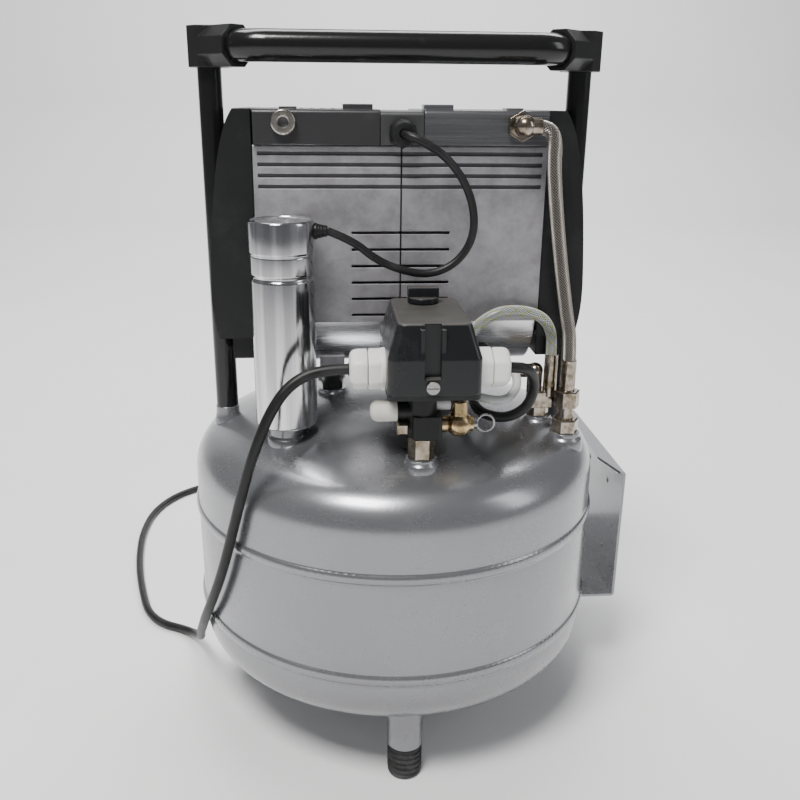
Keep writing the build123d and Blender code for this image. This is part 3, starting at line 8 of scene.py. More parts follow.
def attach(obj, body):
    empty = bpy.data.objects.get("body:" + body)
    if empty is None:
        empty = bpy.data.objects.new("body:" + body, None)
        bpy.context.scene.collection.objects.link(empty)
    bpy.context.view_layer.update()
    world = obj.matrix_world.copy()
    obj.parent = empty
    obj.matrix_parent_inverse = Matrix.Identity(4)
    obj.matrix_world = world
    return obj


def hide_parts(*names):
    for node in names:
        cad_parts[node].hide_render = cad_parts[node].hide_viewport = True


# Oil-free compressor for airbrush work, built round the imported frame. Metres, +Z up, the
# pressure switch on the -Y side.
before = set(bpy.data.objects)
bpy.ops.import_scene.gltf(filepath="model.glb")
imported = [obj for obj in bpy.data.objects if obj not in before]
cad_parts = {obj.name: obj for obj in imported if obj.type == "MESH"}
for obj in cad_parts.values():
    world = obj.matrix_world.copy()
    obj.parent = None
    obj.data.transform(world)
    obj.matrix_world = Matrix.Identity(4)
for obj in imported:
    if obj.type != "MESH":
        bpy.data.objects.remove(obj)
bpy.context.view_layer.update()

# ---------------------------------------------------------------- camera
# A hand-held view from a little above, turned slightly to the right of straight on.
sight = bpy.data.cameras.new("sight")
sight.sensor_width = 36
sight.lens = 39.4
sight.shift_x = 0.007
sight.clip_start = 0.05
camera = bpy.data.objects.new("sight", sight)
camera.location = (-0.0497, -0.632, 0.4545)
turn = math.radians(-4.5)
tip = math.radians(71.26)
roll = math.radians(0.52)
camera.rotation_euler = (
    Matrix.Rotation(turn, 3, "Z") @ Matrix.Rotation(tip, 3, "X") @ Matrix.Rotation(roll, 3, "Z")
).to_euler()
bpy.context.scene.collection.objects.link(camera)
bpy.context.scene.camera = camera


# ---------------------------------------------------------------- shader arithmetic
# Every finish is built from its nodes. A Wire is one output socket, so a mask is written as
# a sum, and a Finish is one material with the socket values that are the same all over.
class Wire:
    """One output socket of a material, with arithmetic."""

    def __init__(self, tree, socket):
        self.tree = tree
        self.socket = socket

    def node(self, kind, settings=None, inputs=None, out=0):
        """Adds a node: its settings first, then the values or links of its sockets."""
        made = self.tree.nodes.new(kind)
        for name, value in (settings or {}).items():
            if name == "stops":
                ramp = made.color_ramp
                while len(ramp.elements) < len(value):
                    ramp.elements.new(0.5)
                for stop, (place, colour) in zip(ramp.elements, value):
                    stop.position = place
                    stop.color = colour if len(colour) == 4 else (*colour, 1)
            else:
                setattr(made, name, value)
        for name, value in (inputs or {}).items():
            if isinstance(value, Wire):
                self.tree.links.new(value.socket, made.inputs[name])
            else:
                made.inputs[name].default_value = value
        return Wire(self.tree, made.outputs[out])

    def maths(self, operation, *values):
        return self.node("ShaderNodeMath", {"operation": operation}, dict(enumerate(values)))

    def through(self, operation, *others):
        """This value put through a function, such as a root or a cosine."""
        return self.maths(operation, self, *others)

    def __add__(self, other):
        return self.maths("ADD", self, other)

    def __sub__(self, other):
        return self.maths("SUBTRACT", self, other)

    def __mul__(self, other):
        return self.maths("MULTIPLY", self, other)

    def __truediv__(self, other):
        return self.maths("DIVIDE", self, other)

    def __radd__(self, other):
        return self.maths("ADD", other, self)

    def __rsub__(self, other):
        return self.maths("SUBTRACT", other, self)

    def __rmul__(self, other):
        return self.maths("MULTIPLY", other, self)

    def clip(self, low, high):
        """0 below low, 1 above high, a smooth ramp between them."""
        return self.node(
            "ShaderNodeMapRange",
            {"interpolation_type": "SMOOTHSTEP"},
            {"Value": self, "From Min": low, "From Max": high},
        )

    def noise(self, scale, detail=3.0, roughness=0.5):
        return self.node(
            "ShaderNodeTexNoise", {},
            {"Vector": self, "Scale": scale, "Detail": detail, "Roughness": roughness},
        )

    def stretched(self, x, y, z):
        """The same coordinates, with each axis multiplied."""
        return self.node("ShaderNodeMapping", {}, {"Vector": self, "Scale": (x, y, z)})

    def axis(self, letter):
        return self.node("ShaderNodeSeparateXYZ", {}, {"Vector": self}, out=letter)

    def tint(self, low, high):
        """Colour from low at 0 to high at 1."""
        return self.node(
            "ShaderNodeMix", {"data_type": "RGBA"},
            {"Factor": self, 6: colour(low), 7: colour(high)}, out=2,
        )


def colour(value):
    """A grey, a colour or a wire, as a colour socket takes it."""
    if isinstance(value, Wire):
        return value
    if isinstance(value, (int, float)):
        return (value, value, value, 1)
    return (*value, 1)


class Finish:
    """A material: named socket values, object coordinates and one principled shader."""

    def __init__(self, name, base, roughness=0.5, **sockets):
        self.mat = bpy.data.materials.new(name)
        self.mat.use_nodes = True
        tree = self.mat.node_tree
        tree.nodes.clear()
        self.shader = tree.nodes.new("ShaderNodeBsdfPrincipled")
        self.end = tree.nodes.new("ShaderNodeOutputMaterial")
        tree.links.new(self.shader.outputs[0], self.end.inputs[0])
        coords = tree.nodes.new("ShaderNodeTexCoord")
        self.at = Wire(tree, coords.outputs["Object"])
        self.uv = Wire(tree, coords.outputs["UV"])
        self.feed("Base Color", colour(base))
        self.feed("Roughness", roughness)
        for socket, value in sockets.items():
            self.feed(socket.replace("_", " "), value)

    def feed(self, socket, value):
        if isinstance(value, Wire):
            self.mat.node_tree.links.new(value.socket, self.shader.inputs[socket])
        else:
            self.shader.inputs[socket].default_value = value

    def relief(self, height, depth, strength=1.0, edge=0.0):
        """Bump of a depth in metres; edge is the radius of a softened edge, in metres."""
        inputs = {"Height": height, "Distance": depth, "Strength": strength}
        if edge > 0:
            inputs["Normal"] = self.at.node("ShaderNodeBevel", {"samples": 6}, {"Radius": edge})
        self.feed("Normal", self.at.node("ShaderNodeBump", {}, inputs))


def paint(finish, *names):
    """Gives CAD nodes a finish in every material slot."""
    for name in names:
        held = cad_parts[name].data.materials
        held.clear()
        held.append(finish.mat)


# ---------------------------------------------------------------- studio
# A pale seamless floor, one large soft light over the left shoulder, two fills and a dim
# even surround, so that the silver shell shows broad reflections.
pale = Finish("studio_floor", 0.8, 0.75)
pale.feed("Base Color", pale.at.noise(3.0).tint(0.84, 0.90))
ground = bpy.data.meshes.new("studio_floor")
sweep_y = [-3.0, 1.6, 2.3, 2.9, 3.2, 3.3]
sweep_z = [-0.0005, -0.0005, 0.08, 0.45, 1.1, 3.6]
sides = [-3.5, 3.5]
ground.from_pydata(
    [(x, y, z) for y, z in zip(sweep_y, sweep_z) for x in sides], [],
    [(2 * n, 2 * n + 1, 2 * n + 3, 2 * n + 2) for n in range(len(sweep_y) - 1)],
)
for face in ground.polygons:
    face.use_smooth = True
ground.materials.append(pale.mat)
floor = bpy.data.objects.new("studio_floor", ground)
bpy.context.scene.collection.objects.link(floor)


def softbox(name, place, aim, size, power, warmth):
    """A rectangular light that looks at a point."""
    data = bpy.data.lights.new(name, "AREA")
    data.shape = "RECTANGLE"
    data.size, data.size_y = size
    data.energy = power
    data.color = warmth
    lamp = bpy.data.objects.new(name, data)
    lamp.location = place
    lamp.rotation_euler = (Vector(aim) - Vector(place)).to_track_quat("-Z", "Y").to_euler()
    bpy.context.scene.collection.objects.link(lamp)


softbox("window", (-0.55, -0.95, 2.1), (0, 0, 0.2), (0.7, 0.6), 60, (1.0, 0.985, 0.965))
softbox("right_fill", (1.7, -0.7, 1.1), (0, 0, 0.3), (0.5, 1.1), 6, (0.96, 0.98, 1.0))
softbox("back_wash", (0.2, 1.3, 2.4), (0, 1.9, 0.2), (2.6, 1.2), 90, (1.0, 1.0, 1.0))
world = bpy.data.worlds.new("even_surround")
world.use_nodes = True
world.node_tree.nodes["Background"].inputs["Color"].default_value = (0.93, 0.95, 1.0, 1)
world.node_tree.nodes["Background"].inputs["Strength"].default_value = 0.20
bpy.context.scene.world = world


# ---------------------------------------------------------------- power cord
# Black round mains cable, 7 mm, out of the left gland, down past the shell and over the
# floor to a tied coil and a two-pin plug behind the receiver.
def spline(name, points, radius, order=3):
    """A curve of one smooth open spline with a round section."""
    data = bpy.data.curves.new(name, "CURVE")
    data.dimensions = "3D"
    data.bevel_depth = radius
    data.bevel_resolution = 5
    data.use_fill_caps = True
    line = data.splines.new("NURBS")
    line.points.add(len(points) - 1)
    for held, point in zip(line.points, points):
        held.co = (*point, 1)
    line.use_endpoint_u = True
    line.order_u = order
    line.resolution_u = 10
    made = bpy.data.objects.new(name, data)
    bpy.context.scene.collection.objects.link(made)
    return made


def metres(points):
    return [Vector(p) / 1000 for p in points]


sheath = Finish("cable_sheath", 0.012, 0.42, Specular_IOR_Level=0.32)
grime = sheath.at.noise(60.0, 4.0)
sheath.feed("Base Color", grime.clip(0.45, 0.75).tint(0.010, 0.024))
sheath.feed("Roughness", grime * 0.22 + 0.32)
sheath.relief(sheath.at.noise(900.0, 2.0), 0.00004, 0.6)

cord_d = 7.0
floor_z = cord_d / 2 + 0.1
cord_route = [
    (-37, -108, 297), (-56, -108, 297), (-74, -112.5, 289), (-86, -116, 273),
    (-96, -118, 250), (-105, -115, 222), (-114, -107, 188), (-124, -96, 151),
    (-134, -82, 121), (-143, -63, 95), (-150, -37, 70), (-157, -8, 45), (-161, 20, 23),
    (-169, 46, 8), (-184, 62, floor_z), (-205, 72, floor_z), (-221, 92, floor_z),
    (-231, 122, floor_z), (-242, 161, floor_z), (-251, 205, floor_z), (-257, 256, floor_z),
    (-254, 308, floor_z), (-235, 350, floor_z), (-200, 378, floor_z), (-158, 388, floor_z),
    (-116, 383, floor_z),
    (-82, 374, floor_z),
]
# five turns of the coil, two on the floor and three lying on them
coil_centre = Vector((-40, 330, 0))
turn_r = [42.0, 35.0, 31.7, 38.5, 45.3]
turn_z = [3.6, 3.6, 9.7, 9.7, 9.7]
turn_steps = 12
start_angle = math.radians(105)
for n in range(len(turn_r) * turn_steps):
    lap = n / turn_steps
    angle = start_angle - 2 * math.pi * lap
    r = np.interp(lap, range(len(turn_r)), turn_r)
    z = np.interp(lap, range(len(turn_z)), turn_z)
    cord_route.append((coil_centre.x + r * math.cos(angle), coil_centre.y + r * math.sin(angle), z))
cord_route += [(-52, 374, 9.7), (-38, 375.5, 11.5), (-27, 374, 14.5), (-16, 372.3, 16.1), (-6, 372, 16.1)]
power_cord = spline("power_cord_run", metres(cord_route), cord_d / 2000)
power_cord.data.materials.append(sheath.mat)


def ring_frame(along):
    """Two directions across an axis, and the axis, as a matrix."""
    along = Vector(along).normalized()
    across = along.orthogonal().normalized()
    if abs(along.z) < 0.99:
        across = Vector((0, 0, 1)).cross(along).normalized()
    return Matrix((across, along.cross(across), along)).transposed()


def rounded(profile, r, cuts=3):
    """A profile with its inner corners rounded off."""
    done = [profile[0]]
    for before, here, after in zip(profile, profile[1:], profile[2:]):
        a = Vector(before) - Vector(here)
        b = Vector(after) - Vector(here)
        if a.length < 1e-6 or b.length < 1e-6 or a.angle(b) > math.radians(165):
            done.append(here)
            continue
        reach = min(r, 0.45 * a.length, 0.45 * b.length)
        start = Vector(here) + a.normalized() * reach
        end = Vector(here) + b.normalized() * reach
        for cut in range(cuts + 1):
            t = cut / cuts
            spot = start * (1 - t) ** 2 + Vector(here) * 2 * t * (1 - t) + end * t * t
            done.append((spot.x, spot.y))
    done.append(profile[-1])
    return done


def lathe(profile, place, along=(0, 0, 1), steps=48, shape_r=None, wave=None):
    """Points and faces of a turned shape. The profile is (radius, distance along the axis) in
    millimetres, from one end to the other; shape_r gives a factor on the radius by angle and
    wave a change of radius by angle and distance."""
    turned = ring_frame(along)
    verts = []
    faces = []
    rings = []
    for radius, distance in profile:
        if radius < 1e-6:
            rings.append([len(verts)])
            verts.append((0, 0, distance))
            continue
        rings.append(list(range(len(verts), len(verts) + steps)))
        for n in range(steps):
            angle = 2 * math.pi * n / steps
            r = radius * (shape_r(angle) if shape_r else 1)
            r += wave(angle, distance) if wave else 0
            verts.append((r * math.cos(angle), r * math.sin(angle), distance))
    for low, high in zip(rings, rings[1:]):
        for n in range(steps):
            after = (n + 1) % steps
            if len(low) == 1 and len(high) == 1:
                break
            if len(low) == 1:
                faces.append((low[0], high[after], high[n]))
            elif len(high) == 1:
                faces.append((low[n], low[after], high[0]))
            else:
                faces.append((low[n], low[after], high[after], high[n]))
    if len(rings[0]) > 1:
        faces.append(tuple(reversed(rings[0])))
    if len(rings[-1]) > 1:
        faces.append(tuple(rings[-1]))
    placed = [(Vector(place) + turned @ Vector(v)) / 1000 for v in verts]
    return placed, faces


def shape(name, *parts, body="frame", sharp=32):
    """One object from parts of (finish, (points, faces)), riding on a body."""
    mesh = bpy.data.meshes.new(name)
    verts = []
    faces = []
    slots = []
    for finish, (points, polygons) in parts:
        if finish.mat.name not in mesh.materials:
            mesh.materials.append(finish.mat)
        index = list(mesh.materials).index(finish.mat)
        faces += [tuple(len(verts) + v for v in polygon) for polygon in polygons]
        slots += [index] * len(polygons)
        verts += points
    mesh.from_pydata(verts, [], faces)
    mesh.polygons.foreach_set("material_index", slots)
    mesh.polygons.foreach_set("use_smooth", [True] * len(faces))
    mesh.set_sharp_from_angle(angle=math.radians(sharp))
    made = bpy.data.objects.new(name, mesh)
    bpy.context.scene.collection.objects.link(made)
    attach(made, body)
    return made


plug_axis = (0, 372, 16.1)
plug_skin = Finish("plug_skin", 0.012, 0.38)
plug_skin.relief(plug_skin.at.noise(1400.0, 2.0), 0.00005, 0.7)
pin_metal = Finish("pin_metal", (0.78, 0.76, 0.72), 0.22, Metallic=1.0)
relief_ribs = [(3.7, -20)]
for n in range(6):
    grown = 4.0 + 0.42 * n
    relief_ribs += [(grown, -19.5 + 3.3 * n), (grown, -17.9 + 3.3 * n),
                    (grown - 0.9, -17.4 + 3.3 * n), (grown - 0.8, -16.7 + 3.3 * n)]
plug_form = relief_ribs + [(6.6, 0.4), (11.0, 3.5), (14.6, 9.0), (15.0, 17.0), (14.2, 23.0),
                           (16.0, 26.5), (16.0, 34.0), (15.4, 35.0), (0, 35.0)]
plug_parts = [(plug_skin, lathe(rounded(plug_form, 1.2), plug_axis, (1, 0, 0), 56,
                                lambda a: 1 - 0.10 * abs(math.cos(a)) ** 3))]
for dy in (-9.5, 9.5):
    root = (plug_axis[0] + 35, plug_axis[1] + dy, plug_axis[2])
    plug_parts.append((plug_skin, lathe(rounded([(2.3, -0.5), (2.3, 9), (1.9, 9.3)], 0.2), root, (1, 0, 0), 20)))
    plug_parts.append((pin_metal, lathe(rounded([(1.95, 9), (1.95, 17.2), (0.9, 18.6), (0, 18.8)], 0.5), root,
                                        (1, 0, 0), 20)))
mains_plug = shape("mains_plug_body", *plug_parts)
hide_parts("mains_plug")
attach(power_cord, "frame")
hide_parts("power_cord", "cord_coil")


# ---------------------------------------------------------------- receiver
# Upright welded steel shell in silver metallic paint: two domed heads let into a short
# cylinder over raised weld beads, with welded stubs, pads and threaded bosses on top.
silver = Finish("silver_paint", 0.42, 0.30, Metallic=0.72, Coat_Weight=0.5, Coat_Roughness=0.12)
flake = silver.at.node("ShaderNodeTexVoronoi", {}, {"Vector": silver.at, "Scale": 2600.0}, out="Color")
cloud = silver.at.noise(14.0, 5.0, 0.6)
dirt = silver.at.noise(7.0, 6.0, 0.7).clip(0.52, 0.78)
rub = silver.at.stretched(1, 1, 6).noise(32.0, 6.0, 0.75).clip(0.60, 0.72)
height_up = silver.at.axis("Z")
# the shell's colour is darker towards the bottom, over the lower weld seam and the lower head
low_darkening = 1 - height_up.clip(0.075, 0.115)
body_tone = cloud.tint((0.235, 0.24, 0.255), (0.295, 0.30, 0.315))
sparkle = flake.axis("X").tint(0.93, 1.07)
with_flake = silver.at.node(
    "ShaderNodeMix", {"data_type": "RGBA", "blend_type": "MULTIPLY"},
    {"Factor": 1.0, 6: body_tone, 7: sparkle}, out=2,
)
with_dirt_and_low_darkening = (dirt * 0.16 + rub * 0.10 + low_darkening * 0.18).tint(with_flake, (0.17, 0.165, 0.155))
silver.feed("Base Color", with_dirt_and_low_darkening)
silver.feed("Roughness", cloud * 0.10 + dirt * 0.16 + rub * 0.12 + 0.22)
silver.relief(silver.at.noise(420.0, 2.0) + cloud * 3, 0.00005, 0.55)

tank_r = 150.0
post_x = 126.0
can_spot = (-78.5, -65.0)
can_foot_z = 247.0
knuckle_r = 31.0
crown_r = 321.0
upper_flange = 197.5
lower_flange = 82.5
crown_back = math.sqrt((crown_r - knuckle_r) ** 2 - (tank_r - knuckle_r) ** 2)


def dome(r):
    """Height of a head above its straight flange at a radius, in millimetres."""
    if r <= (tank_r - knuckle_r) * crown_r / (crown_r - knuckle_r):
        return math.sqrt(crown_r**2 - r**2) - crown_back
    return math.sqrt(max(0.0, knuckle_r**2 - (r - tank_r + knuckle_r) ** 2))


head_r = [tank_r * math.sin(math.pi / 2 * n / 30) for n in range(31)]
upper_head = [(r, upper_flange + dome(r)) for r in head_r]
lower_head = [(r, lower_flange - dome(r)) for r in reversed(head_r)]
seams = (91.5, 166.5)
band_h = 7.5
shell_side = []
for seam in reversed(seams):
    # the head laps a little proud of the cylinder above and below each bead
    shell_side += [(tank_r, seam + band_h + 3), (tank_r, seam + band_h + 0.2), (tank_r + 1.1, seam + band_h - 1.0),
                   (tank_r + 1.7, seam + band_h * 0.62), (tank_r + 1.7, seam + band_h * 0.38),
                   (tank_r + 1.1, seam + 1.0), (tank_r, seam - 0.2), (tank_r - 0.4, seam - 1.6), (tank_r, seam - 4)]
shell_line = upper_head + rounded(shell_side, 1.0) + lower_head


def bead_ripple(angle, z):
    """The small scales of a machine-laid weld bead."""
    for seam in seams:
        if abs(z - seam - band_h / 2) < band_h * 0.45:
            return 0.16 * math.sin(angle * 190) + 0.12 * math.sin(angle * 7 + seam)
    return 0


shell_line = [(r, z) for r, z in reversed(shell_line)]
shell_parts = [(silver, lathe(shell_line, (0, 0, 0), steps=576, wave=bead_ripple))]


def seat(x, y, top, r, depth=16.0, fillet=2.4):
    """A round boss on the upper head with a weld fillet at its foot."""
    base = upper_flange + dome(math.hypot(x, y))
    foot = [(r + fillet, base - 3.5), (r + fillet * 0.7, base - 0.2), (r + 0.4, base + 1.2), (r, base + 1.8)]
    line = [(r + fillet, top - depth)] + foot + [(r, top - 0.01), (0, top)] if top - base > 2.2 else \
        [(r + 0.8, top - depth), (r + 0.8, base - 2), (r, top), (0, top)]
    return lathe(rounded(line, 0.5), (x, y, 0), steps=64)


mount_spots = [(sx * 47.0, 14.0 + dy) for sx in (-1, 1) for dy in (-20.0, 20.0)]
tank_top = upper_flange + dome(0)
fittings_at = ((9.0, -110.0, 8.9, 10.0), (119.5, -50.0, 10.0, 11.0), (103.0, -33.0, 8.3, 10.0))
seat_top = {}
for x, y, reach, r in fittings_at:
    seat_top[x] = upper_flange + dome(math.hypot(x, y) - reach) + 0.3
    shell_parts.append((silver, seat(x, y, seat_top[x], r)))
shell_parts.append((silver, seat(*can_spot, can_foot_z, 12.0)))
for x, y in mount_spots:
    shell_parts.append((silver, seat(x, y, tank_top - 1.0, 10.0)))
for side in (-1, 1):
    base = upper_flange + dome(post_x + 8.5)
    stub = [(10.2, base - 14), (10.2, base + 2), (9.2, base + 6), (8.6, base + 9), (8.5, 238.0), (8.1, 238.5),
            (5.6, 238.5), (5.6, 262.0), (0, 262.5)]
    shell_parts.append((silver, lathe(rounded(stub, 0.8), (side * post_x, 0, 0), steps=48)))
shell_parts.append((silver, lathe(rounded([(10, 14), (10, 30)], 0.4), (0, 0, 5), steps=48)))
shell = shape("receiver_shell", *shell_parts, sharp=40)
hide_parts("receiver", "receiver_seats")
paint(silver, "legs", "regulator_bracket")

# ---------------------------------------------------------------- feet
# Black moulded rubber sleeves with rolled grip rings, plugged into the leg tubes.
rubber = Finish("foot_rubber", 0.02, 0.72)
dusty = rubber.at.noise(90.0, 5.0, 0.65).clip(0.42, 0.72)
near_floor = 1 - rubber.at.axis("Z").clip(0.001, 0.012)
rubber.feed("Base Color", (dusty * 0.6 + near_floor * 0.4).tint(0.012, 0.075))
rubber.relief(rubber.at.noise(700.0, 3.0), 0.00012, 0.7)
ribs = [(0, 0.4), (2.6, 0.4), (2.7, 0), (10.4, 0), (11.8, 0.7), (12.0, 2.0)]
for n in range(5):
    z = 3.4 + 4.3 * n
    ribs += [(11.0, z), (11.1, z + 0.9), (12.3, z + 1.5), (12.3, z + 3.0), (11.2, z + 3.6)]
ribs += [(11.6, 24.8), (10.4, 25.0), (10.4, 39.0), (0, 39.0)]
foot_parts = []
for angle in (270, 30, 150):
    spot = (121 * math.cos(math.radians(angle)), 121 * math.sin(math.radians(angle)), 0)
    foot_parts.append((rubber, lathe(rounded(ribs, 0.5), spot, steps=56)))
feet = shape("feet_ribbed", *foot_parts)
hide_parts("feet")
paint(rubber, "rubber_mounts")

# ---------------------------------------------------------------- drain cock
# Nickel-plated brass body with a knurled thumb screw, under the lower head.
nickel = Finish("nickel_plate", (0.62, 0.57, 0.49), 0.28, Metallic=1.0)
tarnish = nickel.at.noise(120.0, 5.0, 0.65)
nickel.feed("Base Color", tarnish.clip(0.35, 0.65).tint((0.44, 0.39, 0.32), (0.22, 0.18, 0.12)))
nickel.feed("Roughness", tarnish * 0.25 + 0.14)
nickel.relief(nickel.at.noise(500.0, 3.0), 0.00003, 0.5, edge=0.0003)
paint(nickel, "drain_body", "drain_screw")

# ---------------------------------------------------------------- handle
# Two tube posts in gloss black powder coat, with a bowed grip bar held by faceted black
# corner fittings.
gloss_black = Finish("black_powder_coat", 0.010, 0.22, Coat_Weight=0.25, Coat_Roughness=0.10, Specular_IOR_Level=0.35)
peel = gloss_black.at.noise(260.0, 2.0)
scuff = gloss_black.at.noise(26.0, 6.0, 0.75).clip(0.60, 0.75)
gloss_black.feed("Base Color", scuff.tint(0.008, 0.030))
gloss_black.feed("Roughness", scuff * 0.25 + 0.20)
gloss_black.relief(peel, 0.00006, 0.5, edge=0.0004)
paint(gloss_black, "handle_posts")
corner_black = Finish("corner_moulding", 0.012, 0.36, Specular_IOR_Level=0.35)
grain = corner_black.at.noise(1100.0, 2.0)
corner_black.feed("Roughness", corner_black.at.noise(40.0, 4.0) * 0.2 + 0.28)
corner_black.relief(grain, 0.00005, 0.6, edge=0.0012)
paint(corner_black, "handle_corners")


def sampled(points, order=3, step=1.2):
    """Evenly spaced points of a smooth open line, in millimetres."""
    line = spline("line", points, 0.0, order)
    line.data.use_fill_caps = False
    line.data.splines[0].resolution_u = 24
    traced = bpy.data.meshes.new_from_object(line.evaluated_get(bpy.context.evaluated_depsgraph_get()))
    raw = np.array([v.co for v in traced.vertices])
    bpy.data.meshes.remove(traced)
    bpy.data.objects.remove(line)
    reach = np.concatenate([[0], np.cumsum(np.linalg.norm(np.diff(raw, axis=0), axis=1))])
    count = max(2, int(reach[-1] / step))
    even = np.linspace(0, reach[-1], count + 1)
    return np.column_stack([np.interp(even, reach, raw[:, k]) for k in range(3)])


def carried(path):
    """Directions across a path that don't twist round it."""
    ahead = np.gradient(path, axis=0)
    ahead /= np.linalg.norm(ahead, axis=1)[:, None]
    across = [np.cross(ahead[0], (0, 0, 1) if abs(ahead[0][2]) < 0.9 else (0, 1, 0))]
    for direction in ahead[1:]:
        kept = across[-1] - direction * np.dot(across[-1], direction)
        across.append(kept / np.linalg.norm(kept))
    across[0] = across[0] / np.linalg.norm(across[0])
    across = np.array(across)
    return across, np.cross(ahead, across)


def tube(points, radius, around=28, order=3, step=1.2):
    """Points and faces of a round tube with closed ends; points and radius in millimetres."""
    path = sampled(points, order, step)
    across, up = carried(path)
    verts = []
    faces = []
    for spot, a, b in zip(path, across, up):
        for n in range(around):
            angle = 2 * math.pi * n / around
            verts.append(Vector(spot + radius * (a * math.cos(angle) + b * math.sin(angle))) / 1000)
    for ring in range(len(path) - 1):
        for n in range(around):
            after = (n + 1) % around
            low, high = ring * around, (ring + 1) * around
            faces.append((low + n, low + after, high + after, high + n))
    faces.append(tuple(reversed(range(around))))
    faces.append(tuple(range((len(path) - 1) * around, len(path) * around)))
    return verts, faces


grip_line = [(-119.7, -6.5, 488.5), (-108, -18.6, 488.5), (-101, -25.9, 488.5), (-91, -30, 488.5),
             (-80, -30, 488.5), (-40, -30, 488.5), (40, -30, 488.5), (80, -30, 488.5), (91, -30, 488.5),
             (101, -25.9, 488.5), (108, -18.6, 488.5), (119.7, -6.5, 488.5)]
grip = shape("grip_bar", (gloss_black, tube(grip_line, 10.0, 40)))
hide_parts("handle_grip")

# ---------------------------------------------------------------- housing
# Two blasted aluminium die castings that meet at a joint line in the middle of the front.
cast = Finish("blasted_casting", 0.45, 0.50, Metallic=0.75)
mottled = cast.at.noise(70.0, 6.0, 0.7) * 0.55 + cast.at.noise(16.0, 3.0, 0.6) * 0.45
stain = cast.at.stretched(1, 1, 2.2).noise(16.0, 5.0, 0.65).clip(0.5, 0.8)
barrel_y = 0.014
barrel_z = (tank_top + 17 + 52) / 1000
across_y = cast.at.axis("Y") - barrel_y
across_z = cast.at.axis("Z") - barrel_z
from_axis = (across_y * across_y + across_z * across_z).through("SQRT")
belly = from_axis.clip(0.0513, 0.0517) * (1 - from_axis.clip(0.0523, 0.0527)) * (1 - across_z.clip(-0.013, -0.012))
lathe_marks = cast.at.stretched(0.8, 60, 60).noise(30.0, 4.0, 0.6)
blasted = mottled.clip(0.3, 0.7).tint((0.22, 0.215, 0.23), (0.42, 0.41, 0.43))
stained = (stain * 0.35).tint(blasted, (0.20, 0.19, 0.18))
# painted shade: the floors of the grooves and the joint line between the two castings are darkened in the colour
depth_y = cast.at.axis("Y")
groove_shade = depth_y.clip(-0.0415, -0.0407) * (1 - depth_y.clip(-0.037, -0.036)) * across_z.clip(0.0, 0.002)
joint = 1 - cast.at.axis("X").through("ABSOLUTE").clip(0.0003, 0.0008)
groove_and_joint_shade = (groove_shade * 0.8).through("MAXIMUM", joint).tint(stained, (0.05, 0.05, 0.055))
cast.feed("Base Color", belly.tint(groove_and_joint_shade, lathe_marks.tint((0.60, 0.60, 0.61), (0.86, 0.86, 0.87))))
cast.feed("Roughness", (mottled * 0.24 + 0.36) * (1 - belly) + (lathe_marks * 0.2 + 0.18) * belly)
cast.feed("Metallic", 0.70 + belly * 0.3)
cast.relief((cast.at.noise(520.0, 4.0, 0.65) + cast.at.noise(1500.0, 2.0) * 0.5) * (1 - belly * 0.9),
            0.00016, 0.75, edge=0.0007)
paint(cast, "housing_left", "housing_right", "piston_rods")

# ---------------------------------------------------------------- cylinder heads
# Black-coated castings, the right one glossier, held by socket screws; a grey cover with
# the motor's gland between them.
head_black = Finish("head_coating", 0.02, 0.36, Metallic=0.3)
wornout = head_black.at.noise(34.0, 6.0, 0.7).clip(0.5, 0.8)
head_black.feed("Base Color", wornout.tint((0.040, 0.040, 0.042), (0.085, 0.085, 0.088)))
head_black.feed("Roughness", wornout * 0.18 + 0.30)
head_black.relief(head_black.at.noise(600.0, 3.0), 0.00010, 0.6, edge=0.0012)
head_gloss = Finish("head_coating_gloss", 0.03, 0.22, Metallic=0.55)
sheen = head_gloss.at.stretched(0.5, 30, 30).noise(20.0, 3.0)
head_gloss.feed("Base Color", sheen.tint((0.075, 0.077, 0.082), (0.16, 0.162, 0.17)))
head_gloss.feed("Roughness", sheen * 0.14 + 0.20)
head_gloss.relief(sheen, 0.00003, 0.5, edge=0.0014)
cover_grey = Finish("terminal_cover_grey", 0.13, 0.42, Metallic=0.5)
cover_grey.feed("Base Color", cover_grey.at.noise(60.0, 5.0, 0.6).tint((0.040, 0.041, 0.043), (0.095, 0.095, 0.095)))
cover_grey.relief(cover_grey.at.noise(500.0, 3.0), 0.00008, 0.6, edge=0.0010)
paint(head_black, "cylinder_head_left")
paint(head_gloss, "cylinder_head_right")
paint(cover_grey, "terminal_cover")

steel = Finish("machined_steel", 0.55, 0.26, Metallic=1.0)
turned = steel.at.noise(200.0, 4.0, 0.6)
steel.feed("Base Color", turned.tint((0.30, 0.30, 0.30), (0.46, 0.45, 0.44)))
steel.feed("Roughness", turned * 0.2 + 0.18)
steel.relief(turned, 0.00003, 0.5, edge=0.0003)
paint(steel, "screws", "shaft", "bearings", "eccentrics", "valve_plates", "safety_pull")

port_face = (-76.0, -46.0, 442.54)
plug_line = [(7.6, 0), (8.0, 0.5), (8.0, 3.6), (7.2, 4.5), (4.0, 4.5), (3.4, 4.3)]
socket_line = [(3.3, 4.3), (3.3, 1.2), (0, 0.6)]


def six_sided(angle):
    """Radius factor of a hexagonal hole."""
    return 1 / math.cos((angle + math.pi / 6) % (math.pi / 3) - math.pi / 6)


